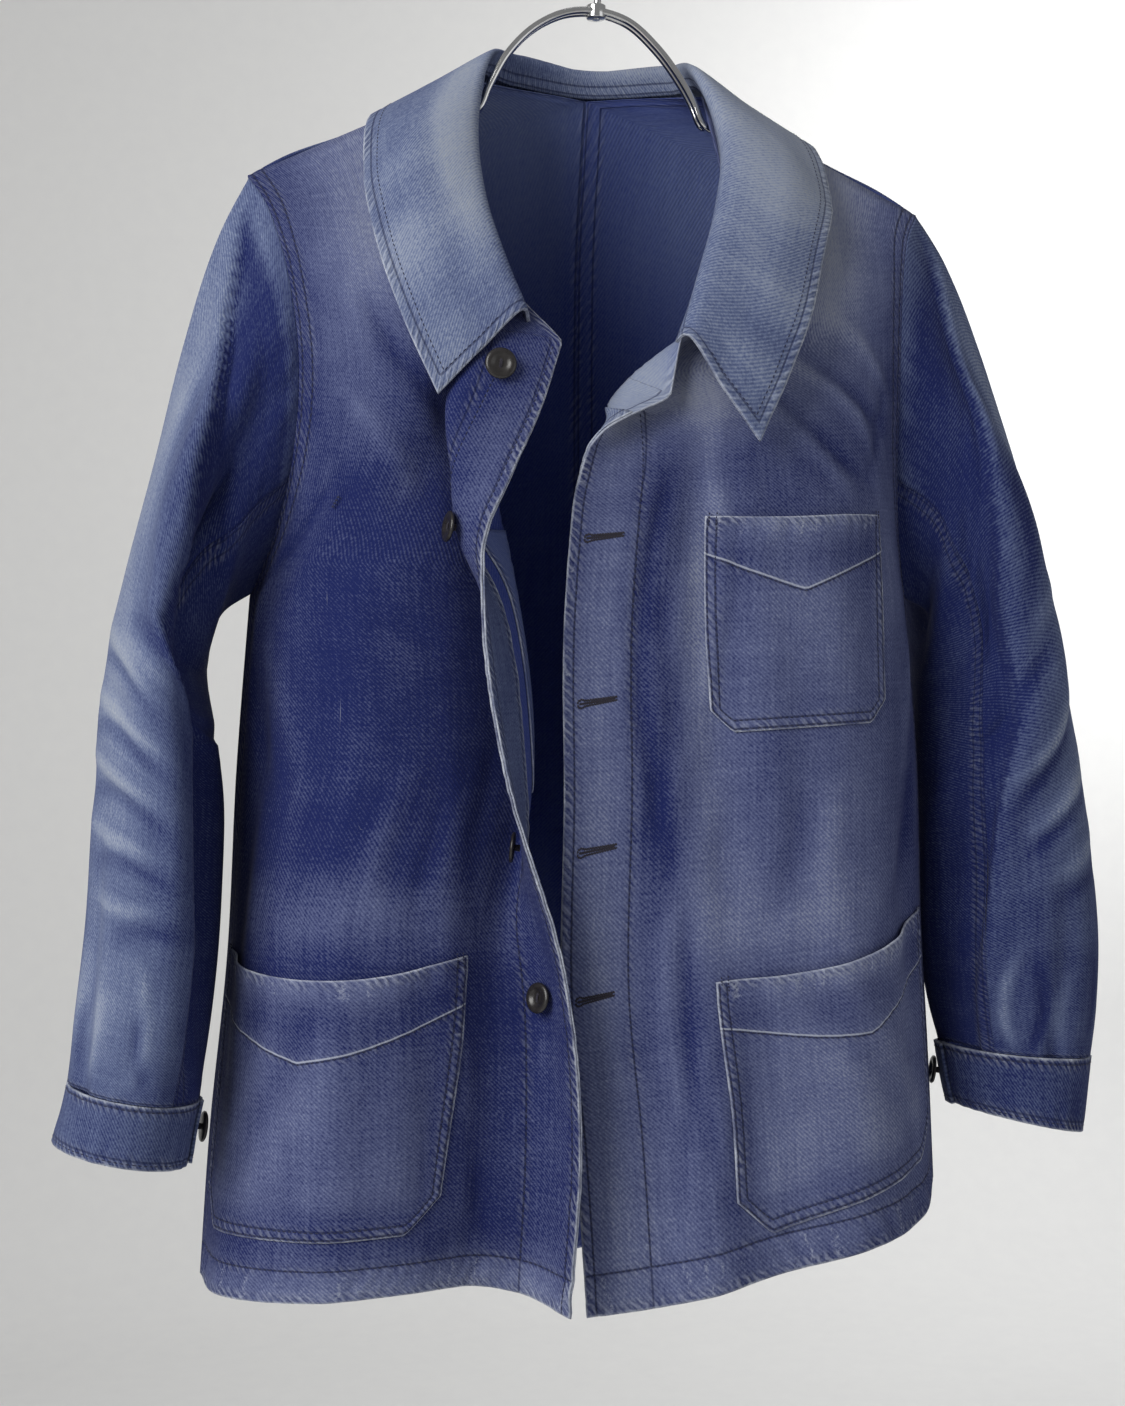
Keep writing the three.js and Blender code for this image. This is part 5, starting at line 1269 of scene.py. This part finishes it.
class JACKET_OT_sleeves(bpy.types.Operator):
    """Makes the sleeves, each a top and an under sleeve, and their cuffs"""

    bl_idname = "jacket.sleeves"
    bl_label = "Sleeves and cuffs"

    def execute(self, context):
        made = finishes()
        for side in ("right", "left"):
            for kind in ("top", "under"):
                name = "sleeve_%s_%s" % (kind, side)
                cloth, detail = LAID[name]
                grown = crease_lift(SLEEVE_CREASES[side], (cloth.s % SLEEVE_GIRTH)[None], cloth.t[:, None])
                painted_shade_behind_tuck = painted_tuck_shade(SLEEVE_TUCKS[side], ((cloth.s / SLEEVE_GIRTH + 0.4) % 1 - 0.4)[None],
                                   cloth.t[:, None] / SLEEVE_LENGTH)
                fade_and_painted_light = 0.14 + blobs(SLEEVE_FADE[side], (cloth.s % SLEEVE_GIRTH)[None], cloth.t[:, None])
                # Painted shade: behind each tuck, and over the whole under sleeve, the cloth is darkened as if in
                # shadow.
                fade_and_painted_light = fade_and_painted_light - 0.5 * painted_shade_behind_tuck - (0.3 if kind == "under" else 0)
                fade_and_painted_light = fade_and_painted_light + 0.12 * np.clip(grown, -2, 3) + 0.1 * np.clip(detail, -1, 2)
                from_stop = cloth.reach[:, -1:] - cloth.reach
                wear = 0.12 * np.clip(grown - 1, 0, 2)
                rows = [pair(from_stop, 2.5, 9.5), SLEEVE_LENGTH - 2 - cloth.t[:, None] + 0 * from_stop]
                piece = cloth_piece("cloth_" + name, cloth, CLOTH, [made["drill"], made["inside"]], fade_and_painted_light, wear,
                                    rows=rows)
                carry(piece, "drill", name)
            name = "cuff_" + side
            cloth, detail = LAID[name]
            down = cloth.t[:, None] + 0 * detail
            rim = np.minimum(down, 36 - down)
            fade_and_painted_light = (0.3 if side == "right" else 0.12) + 0.12 * np.clip(detail, -1, 1.5)
            piece = cloth_piece("cloth_" + name, cloth, CUFF, [made["drill"], made["inside"]], fade_and_painted_light,
                                rim=rim, rows=[pair(down, 2.6, 31)])
            carry(piece, "drill", name)
        return {"FINISHED"}


class JACKET_OT_collar(bpy.types.Operator):
    """Makes the collar from its top and under layers, turned and topstitched"""

    bl_idname = "jacket.collar"
    bl_label = "Collar"

    def execute(self, context):
        made = finishes()
        cloth, rim, detail = LAID["collar"]
        parting = COLLAR_PARTING - 0.12 * np.exp(-((rim / 2.5) ** 2))
        for name, side in (("collar_top", 1), ("collar_under", -1)):
            points = cloth.points + cloth.normals * (side * parting)[..., None]
            layer = Cloth(cloth.s, cloth.t, points, lambda p: side * (p - np.array([0, -10, 690.0])))
            CUT[name] = layer
            uv = np.stack(np.broadcast_arrays(cloth.s[None], cloth.t[:, None] * 75), axis=-1)
            neck = cloth.t[:, None] * LAID["collar_height"][None]
            fade_and_painted_light = 0.55 + blobs(COLLAR_FADE, cloth.s[None], cloth.t[:, None]) + 0.12 * np.clip(detail, -1, 1.5)
            if side < 0:
                fade_and_painted_light = fade_and_painted_light - 0.25
            piece = cloth_piece("cloth_" + name, layer, COLLAR_LAYER, [made["drill"]], fade_and_painted_light, rim=rim,
                                rows=[rim - 6.2, pair(neck, 2, 8)], uv=uv)
            carry(piece, "drill", name)
        return {"FINISHED"}


class JACKET_OT_pockets(bpy.types.Operator):
    """Makes the patch pockets, the inner pocket and the facings of the front edges"""

    bl_idname = "jacket.pockets"
    bl_label = "Pockets and facings"

    def execute(self, context):
        made = finishes()
        for name in POCKETS:
            cloth, rim, from_top, flap, out, uv = LAID[name]
            heights = 1 - from_top / from_top.max()
            band = np.exp(-(((from_top - 26) / 16) ** 2))
            base, low = POCKET_FADE[name]
            fade_and_painted_light = base + 0.1 * (out - out.mean()) - 0.12 * band + low * (1 - heights) * smooth(rim, 4, 30)
            edge = np.minimum(rim, from_top)
            rows = [np.where(from_top > 0.5, pair(rim, 1.8, 7), FAR), flap]
            blocks = ripple(uv[..., 0], 10, base * 9) * smooth(13 - from_top, 0, 2)
            wear = 0.5 * np.clip(blocks - 0.1, 0, 1)
            piece = cloth_piece("cloth_" + name, cloth, CLOTH, [made["front_drill"], made["inside"]], fade_and_painted_light, wear,
                                rim=edge, rows=rows, ridge=flap + 1.3, uv=uv)
            carry(piece, "drill", name)
            wide, tall = uv[0, -1, 0] - uv[0, 0, 0], uv[-1, 0, 1] - uv[0, 20, 1]
        for name in ("facing_right", "facing_left", "pocket_inner"):
            cloth, rim = LAID[name]
            wide = cloth.s[-1] - cloth.s[0]
            tall = {"facing_right": 592, "facing_left": 546, "pocket_inner": 186}[name]
            uv = np.stack(np.broadcast_arrays(cloth.s[None], cloth.t[:, None] * tall), axis=-1)
            inner = name == "pocket_inner"
            fade_and_painted_light = 0.35 if inner else 0.3 + 0.4 * smooth(cloth.t, 0.86, 0.95)[:, None]
            rows = [rim - 2.5] if inner else [cloth.s[None] - 6.5, cloth.s[None] - (PLACKET - 3)]
            piece = cloth_piece("cloth_" + name, cloth, POCKETING if inner else FACING,
                                [made["inside" if inner else "drill"]], fade_and_painted_light + 0 * rim, rim=rim,
                                rows=[row + 0 * rim for row in rows], uv=uv)
            carry(piece, "drill", name)
        return {"FINISHED"}


class JACKET_OT_sewing(bpy.types.Operator):
    """Sews the topstitching, row by row"""

    bl_idname = "jacket.sewing"
    bl_label = "Topstitching"

    def execute(self, context):
        made = finishes()
        sizes = context.scene.jacket_sizes
        stitch, gap, thick = sizes.stitch / MM, sizes.stitch_gap / MM, sizes.thread / MM
        out = CLOTH / 2 + thick * 0.1

        def rows(name, cloth, paths, lift=out):
            total = bmesh.new()
            for s, t in paths:
                sew(total, cloth, s, t, lift, stitch, gap, thick)
            mesh_piece("thread_" + name, total, made["thread"], "drill", smooth_shaded=False)

        for name in PANELS:
            cloth = CUT[name]
            low, high = cloth.t[0], cloth.t[-1]
            hem_s = np.linspace(1, cloth.s[-1] - 1, 160)
            upright = np.linspace(low + 2, high - 1, 300)
            above = upright[upright > PANELS[name].rise[ARMPIT_ROW]]
            paths = [(hem_s, low + 20.0)]
            if name.startswith("front"):
                edge = np.linspace(low + 2, PANELS[name].rise[CORNER_ROW] - 4, 300)
                paths += [(6.5, edge), (PLACKET, np.linspace(low + 20, PANELS[name].rise[CORNER_ROW] - 12, 300))]
            else:
                centre = np.linspace(low + 2, PANELS[name].rise[NECK_ROW] - 1, 300)
                paths += [(cloth.from_edge(2.0, centre), centre), (cloth.from_edge(9.0, centre), centre)]
            for distance in (3.0, 10.0):
                paths.append((cloth.from_edge(-distance, above), above))
            rows(name, cloth, paths)
        for side in ("right", "left"):
            cloth = CUT["sleeve_top_" + side]
            down = np.linspace(2, SLEEVE_LENGTH - 2, 260)
            paths = []
            for distance in (2.5, 9.5):
                paths.append((cloth.from_edge(-distance, down), down))
            rows("sleeve_" + side, cloth, paths)
            cloth = CUT["cuff_" + side]
            around = np.linspace(cloth.s[0] + 2, cloth.s[-1] - 2, 120)
            rows("cuff_" + side, cloth, [(around, 3.0), (around, 33.0)], CUFF / 2 + thick * 0.1)
        cloth = CUT["collar_top"]
        last = cloth.s[-1]
        inner = LAID["collar"][1]
        middle = inner.shape[1] // 2
        share = 1 - 7.0 / 62.0
        paths = [(np.full(40, 7.0), np.linspace(0.35, share, 40)), (np.linspace(7, last - 7, 260), share),
                 (np.full(40, last - 7.0), np.linspace(share, 0.35, 40))]
        rows("collar", cloth, paths, COLLAR_LAYER / 2 + thick * 0.1)
        for name in POCKETS:
            cloth = CUT[name]
            pocket = Pocket(name)
            wide, tall = pocket.far[0] - pocket.near[0], pocket.high[0] - pocket.low[0]
            paths = []
            for inset in (1.8, 7.0):
                side, turn = inset / wide, (pocket.cut - inset * 0.4) / wide
                across = np.concatenate([np.full(60, side), np.linspace(side, side + turn, 14),
                                         np.linspace(side + turn, 1 - side - turn, 60),
                                         np.linspace(1 - side - turn, 1 - side, 14), np.full(60, 1 - side)])
                up = np.concatenate([np.linspace(1 - 3 / tall, (inset + 1) / tall, 60), np.full(88, inset / tall),
                                     np.linspace((inset + 1) / tall, 1 - 3 / tall, 60)])
                paths.append((across, up))
            across = np.linspace(9 / wide, 1 - 9 / wide, 90)
            height = pocket.top(across) - pocket.bottom(across)
            paths.append((across, 1 - pocket.flap_depth(across) / height))
            rows(name, cloth, paths)
        return {"FINISHED"}


def button_body(total, matrix, radius):
    """A dished two-hole button on its thread shank, turned from its profile."""
    profile = [(0.0, 4.3), (2.6, 4.3), (4.2, 4.5), (5.4, 5.3), (6.6, 5.7), (8.2, 5.6), (9.2, 5.0), (9.5, 4.2),
               (8.9, 3.4), (7.0, 3.0), (0.0, 2.8)]
    part = bmesh.new()
    verts = [part.verts.new((r * radius / 9.5, 0, z)) for r, z in profile]
    edges = [part.edges.new(pair) for pair in zip(verts, verts[1:])]
    bmesh.ops.spin(part, geom=verts + edges, axis=(0, 0, 1), cent=(0, 0, 0), angle=2 * math.pi, steps=40,
                   use_merge=True)
    bmesh.ops.remove_doubles(part, verts=part.verts[:], dist=1e-4)
    bmesh.ops.recalc_face_normals(part, faces=part.faces[:])
    bmesh.ops.transform(part, matrix=matrix, verts=part.verts[:])
    held = bpy.data.meshes.new("button")
    part.to_mesh(held)
    part.free()
    total.from_mesh(held)
    bpy.data.meshes.remove(held)


def button_places():
    """Where each button sits: its node's name, its foot and its normal."""
    places = []
    for k, height in enumerate(BUTTON_HEIGHTS):
        point, normal = CUT["front_right"].at(BUTTON_INSETS[k], height, CLOTH / 2 + BUTTON_STAND)
        places.append(("button_%d" % (k + 1), point, normal))
    for side in ("right", "left"):
        cloth = CUT["cuff_" + side]
        point, normal = cloth.at(CUFF_BUTTON * SLEEVE_GIRTH, 0.45 * 36, CUFF / 2 + GAP)
        places.append(("cuff_button_" + side, point, normal))
    return places


def buttonholes(cloth):
    """Keyhole buttonholes: an eye near the edge, a slit that rises a little, and their purl."""
    total = bmesh.new()
    for height in BUTTONHOLE_HEIGHTS:
        path = [(11.5 + 2.3 * math.cos(a), 2.0 * math.sin(a)) for a in np.linspace(0.7, 2 * math.pi - 0.7, 18)]
        slit = np.linspace(13.3, 33, 34)
        gape = 1.2 - 0.035 * (slit - 13.3)
        path = list(zip(slit[::-1], -gape[::-1])) + path[::-1] + list(zip(slit, gape))
        for k, (s, t) in enumerate(path):
            t = height + t + 0.09 * (s - 11.5)
            outward = 1 if t > height + 0.09 * (s - 11.5) else -1
            point, normal = cloth.at(s, t, CLOTH / 2 + 0.2)
            outer, _ = cloth.at(s - 0.3, t + outward * (0.9 + 0.4 * math.sin(k * 2.4)), CLOTH / 2 + 0.1)
            shape = turned_to(outer - point, normal, (point + outer) / 2)
            shape = shape @ Matrix.Diagonal((0.85, 0.42, 0.4, 1))
            bmesh.ops.create_icosphere(total, subdivisions=1, radius=1, matrix=shape)
        for s in np.linspace(11, 31, 16):
            point, normal = cloth.at(s, height + 0.09 * (s - 11.5), CLOTH / 2 + 0.05)
            shape = turned_to((1, 0, 0.1), normal, point) @ Matrix.Diagonal((1.2, 0.95, 0.2, 1))
            bmesh.ops.create_icosphere(total, subdivisions=1, radius=1, matrix=shape)
    return total


def bar_tacks():
    """Short close bars of thread at the tops of the pockets and of the inner pocket's seam."""
    total = bmesh.new()
    places = [(CUT["front_right"], 221 + k, np.linspace(500, 508, 20)) for k in (0, 1)]
    for name in POCKETS:
        pocket = Pocket(name)
        for share in (0.02, 0.98):
            s, t = pocket.place(np.array(share), np.array(1.0))
            for k in (0.0, 4.5):
                places.append((CUT[pocket.front], float(s) + (k if share < 0.5 else -k),
                               np.linspace(float(t) - 7, float(t) + 3, 20)))
    for cloth, s, t in places:
        sew(total, cloth, np.full(20, s), t, CLOTH * 1.5 + GAP + 0.3, 1.6, 0.2, 1.1)
    return total


class JACKET_OT_buttons(bpy.types.Operator):
    """Makes the two-hole buttons with their thread, and works the buttonholes"""

    bl_idname = "jacket.buttons"
    bl_label = "Buttons and buttonholes"

    def execute(self, context):
        made = finishes()
        radius = context.scene.jacket_sizes.button / MM
        for name, point, normal in button_places():
            stand = turned_to((0.13, 0.05, 1), normal, point)
            total = bmesh.new()
            button_body(total, stand, radius)
            mesh_piece("resin_" + name, total, made["button"], "button", name)
            total = bmesh.new()
            bmesh.ops.create_cone(total, cap_ends=True, segments=12, radius1=2.2, radius2=1.8, depth=3.2,
                                  matrix=stand @ Matrix.Translation((0, 0, 1.4)))
            for k in (-1, 0, 1):
                shape = Matrix.Translation((0, k * 0.55, 4.75)) @ Matrix.Diagonal((2.1, 0.42, 0.4, 1))
                bmesh.ops.create_icosphere(total, subdivisions=2, radius=1, matrix=stand @ shape)
            for end in (-1, 1):
                eye = stand @ Matrix.Translation((end * 1.9, 0, 4.38)) @ Matrix.Diagonal((1.0, 1.0, 0.18, 1))
                bmesh.ops.create_icosphere(total, subdivisions=2, radius=1, matrix=eye)
            mesh_piece("shank_" + name, total, made["dark_thread"], "button")
        mesh_piece("buttonholes", buttonholes(CUT["front_left"]), made["dark_thread"], "drill", smooth_shaded=False)
        mesh_piece("bar_tacks", bar_tacks(), made["thread"], "drill", smooth_shaded=False)
        return {"FINISHED"}


def arm_points(name):
    """A rod under a shoulder: it follows the cloth's inside, moved in."""
    panel = PANELS[name]
    clear = CLOTH / 2 + ROD_RADIUS + 2.6
    points = []
    for share in ARM_SHARES:
        across = np.array([[share]])
        seam = panel.place(across, np.array([1.0]))[0, 0]
        v = 1.0
        while v > 0.9 and abs(panel.place(across, np.array([v]))[0, 0, 1] - seam[1]) < ARM_REACH:
            v -= 0.004
        at = np.array([v])
        upward = panel.normals(across, at)[0, 0]
        upward = upward if upward[2] > 0 else -upward
        points.append(panel.place(across, at)[0, 0] - upward * clear)
    return points


def rod(name, points):
    """A smooth round rod through points, as a mesh."""
    curve = bpy.data.curves.new(name, "CURVE")
    curve.dimensions = "3D"
    curve.bevel_depth = ROD_RADIUS * MM
    curve.bevel_resolution = 5
    curve.use_fill_caps = True
    spline = curve.splines.new("POLY")
    points = np.array(points, float)
    knots = chords(points)
    fine = shown(through(points, knots)(np.linspace(0, knots[-1], 150)))
    spline.points.add(len(fine) - 1)
    for held, place in zip(spline.points, fine):
        held.co = (*place, 1)
    held = bpy.data.objects.new(name, curve)
    mesh = bpy.data.meshes.new_from_object(held)
    bpy.data.objects.remove(held)
    return mesh


class JACKET_OT_hanger(bpy.types.Operator):
    """Makes the hanger: two chromed rods, two turned ends, a crimp and the hook"""

    bl_idname = "jacket.hanger"
    bl_label = "Hanger"

    def execute(self, context):
        made = finishes()
        arms = {name: arm_points(name) for name in PANELS}
        ends = []
        total = bmesh.new()
        for half, parting in (("front", -ROD_PARTING), ("back", ROD_PARTING)):
            path = arms[half + "_right"] + [(x, parting, h) for x, h in ARCH] + arms[half + "_left"][::-1]
            ends.append((np.array(path[0]), np.array(path[-1])))
            total.from_mesh(rod("rod", path))
        for k, out in ((0, -8), (1, 8)):
            front, back = ends[0][k], ends[1][k]
            middle = (front + back) / 2 + np.array([out, 0, -2])
            side = np.array([out * 0.25, 0, 0])
            total.from_mesh(rod("end", [front, lerp(front, middle, 0.6) + side, middle,
                                        lerp(back, middle, 0.6) + side, back]))
        top = RAIL_HEIGHT + ROD_RADIUS * 1.15
        turns = np.linspace(math.pi * 1.06, -math.pi * 0.12, 10)
        hook = [(HOOK_MIDDLE, 0, 824), (HOOK_MIDDLE, 0, 846), (HOOK_MIDDLE - 9, 0, 858)]
        hook += [(HOOK_RADIUS * math.cos(a), 0, top - HOOK_RADIUS + HOOK_RADIUS * math.sin(a)) for a in turns]
        total.from_mesh(rod("hook", hook))
        crimp = bmesh.new()
        bmesh.ops.create_cone(crimp, cap_ends=True, segments=32, radius1=6.4, radius2=6.4, depth=9)
        rims = [e for e in crimp.edges if len(e.link_faces) == 2 and any(len(f.verts) > 4 for f in e.link_faces)]
        bmesh.ops.bevel(crimp, geom=rims, offset=0.9, segments=3, profile=0.5, affect="EDGES", material=-1)
        bmesh.ops.transform(crimp, matrix=Matrix.Translation(shown([HOOK_MIDDLE, 0, 829])) @ Matrix.Scale(MM, 4),
                            verts=crimp.verts[:])
        held = bpy.data.meshes.new("crimp")
        crimp.to_mesh(held)
        crimp.free()
        total.from_mesh(held)
        mesh = bpy.data.meshes.new("hanger_rods")
        total.to_mesh(mesh)
        total.free()
        mesh.materials.clear()
        mesh.materials.append(made["chrome"])
        mesh.shade_smooth()
        piece = bpy.data.objects.new("hanger_rods", mesh)
        context.scene.collection.objects.link(piece)
        carry(piece, "chrome", "hanger")
        return {"FINISHED"}


def aimed(thing, place, target):
    thing.location = place
    thing.rotation_euler = (Vector(target) - Vector(place)).to_track_quat("-Z", "Y").to_euler()
    bpy.context.scene.collection.objects.link(thing)


def soft_light(name, place, target, size, power, colour=(1, 1, 1)):
    light = bpy.data.lights.new(name, "AREA")
    light.shape = "RECTANGLE"
    light.size, light.size_y = size
    light.energy = power
    light.color = colour
    aimed(bpy.data.objects.new(name, light), place, target)


class JACKET_OT_stage(bpy.types.Operator):
    """Makes the wall and floor, the soft lights and the camera"""

    bl_idname = "jacket.stage"
    bl_label = "Stage"

    def execute(self, context):
        floor = -context.scene.jacket_sizes.floor_drop
        bm = bmesh.new()
        bmesh.ops.create_grid(bm, x_segments=1, y_segments=1, size=4.4)
        bmesh.ops.translate(bm, verts=bm.verts[:], vec=(0, -1.2, floor))
        back = [e for e in bm.edges if all(v.co.y > 1.5 for v in e.verts)]
        raised = bmesh.ops.extrude_edge_only(bm, edges=back)["geom"]
        bmesh.ops.translate(bm, verts=[g for g in raised if isinstance(g, bmesh.types.BMVert)], vec=(0, 0, 4.2))
        bmesh.ops.bevel(bm, geom=back, offset=0.5, segments=12, profile=0.5, affect="EDGES", material=-1)
        bmesh.ops.recalc_face_normals(bm, faces=bm.faces[:])
        mesh = bpy.data.meshes.new("wall_and_floor")
        bm.to_mesh(mesh)
        bm.free()
        mesh.materials.append(painted_wall("matt wall paint"))
        mesh.shade_smooth()
        wall = bpy.data.objects.new("wall_and_floor", mesh)
        context.scene.collection.objects.link(wall)
        soft_light("window_light", (-2.0, -1.5, 0.55), (0, 0, -0.45), (1.5, 1.9), 66, (1.0, 0.99, 0.97))
        soft_light("fill_light", (2.2, -1.9, -0.3), (0, 0, -0.5), (2.0, 2.0), 9)
        soft_light("wall_light", (2.3, 1.9, 0.5), (1.4, 3.2, 0.0), (1.4, 1.6), 36)
        world = bpy.data.worlds.new("studio")
        world.use_nodes = True
        world.node_tree.nodes["Background"].inputs["Color"].default_value = (1, 1, 1, 1)
        world.node_tree.nodes["Background"].inputs["Strength"].default_value = 0.26
        context.scene.world = world
        context.scene.view_settings.view_transform = "Standard"
        camera = bpy.data.objects.new("camera", bpy.data.cameras.new("camera"))
        camera.data.sensor_width = 36
        camera.data.lens = 2108 / PHOTO[1] * 36
        place = Vector((-0.3023, -1.3363, -0.522))
        aimed(camera, place, place + Vector((0.2079, 0.9781, 0)))
        context.scene.camera = camera
        return {"FINISHED"}


class JACKET_PT_panel(bpy.types.Panel):
    """The jacket's pieces, sizes and colours"""

    bl_idname = "JACKET_PT_panel"
    bl_label = "Chore jacket"
    bl_space_type = "VIEW_3D"
    bl_region_type = "UI"
    bl_category = "Jacket"

    def draw(self, context):
        for operator in OPERATORS:
            self.layout.operator(operator.bl_idname)
        for group in (context.scene.jacket_colours, context.scene.jacket_sizes):
            for key in group.bl_rna.properties.keys():
                if key not in ("rna_type", "name"):
                    self.layout.prop(group, key)


OPERATORS = (JACKET_OT_body, JACKET_OT_sleeves, JACKET_OT_collar, JACKET_OT_pockets, JACKET_OT_sewing,
             JACKET_OT_buttons, JACKET_OT_hanger, JACKET_OT_stage)
CLASSES = (JacketColours, JacketSizes, *OPERATORS, JACKET_PT_panel)


def register():
    for cls in CLASSES:
        bpy.utils.register_class(cls)
    bpy.types.Scene.jacket_colours = PointerProperty(type=JacketColours)
    bpy.types.Scene.jacket_sizes = PointerProperty(type=JacketSizes)


def unregister():
    del bpy.types.Scene.jacket_sizes
    del bpy.types.Scene.jacket_colours
    for cls in reversed(CLASSES):
        bpy.utils.unregister_class(cls)


def main():
    register()
    for operator in OPERATORS:
        group, name = operator.bl_idname.split(".")
        getattr(getattr(bpy.ops, group), name)()


if __name__ == "__main__":
    main()
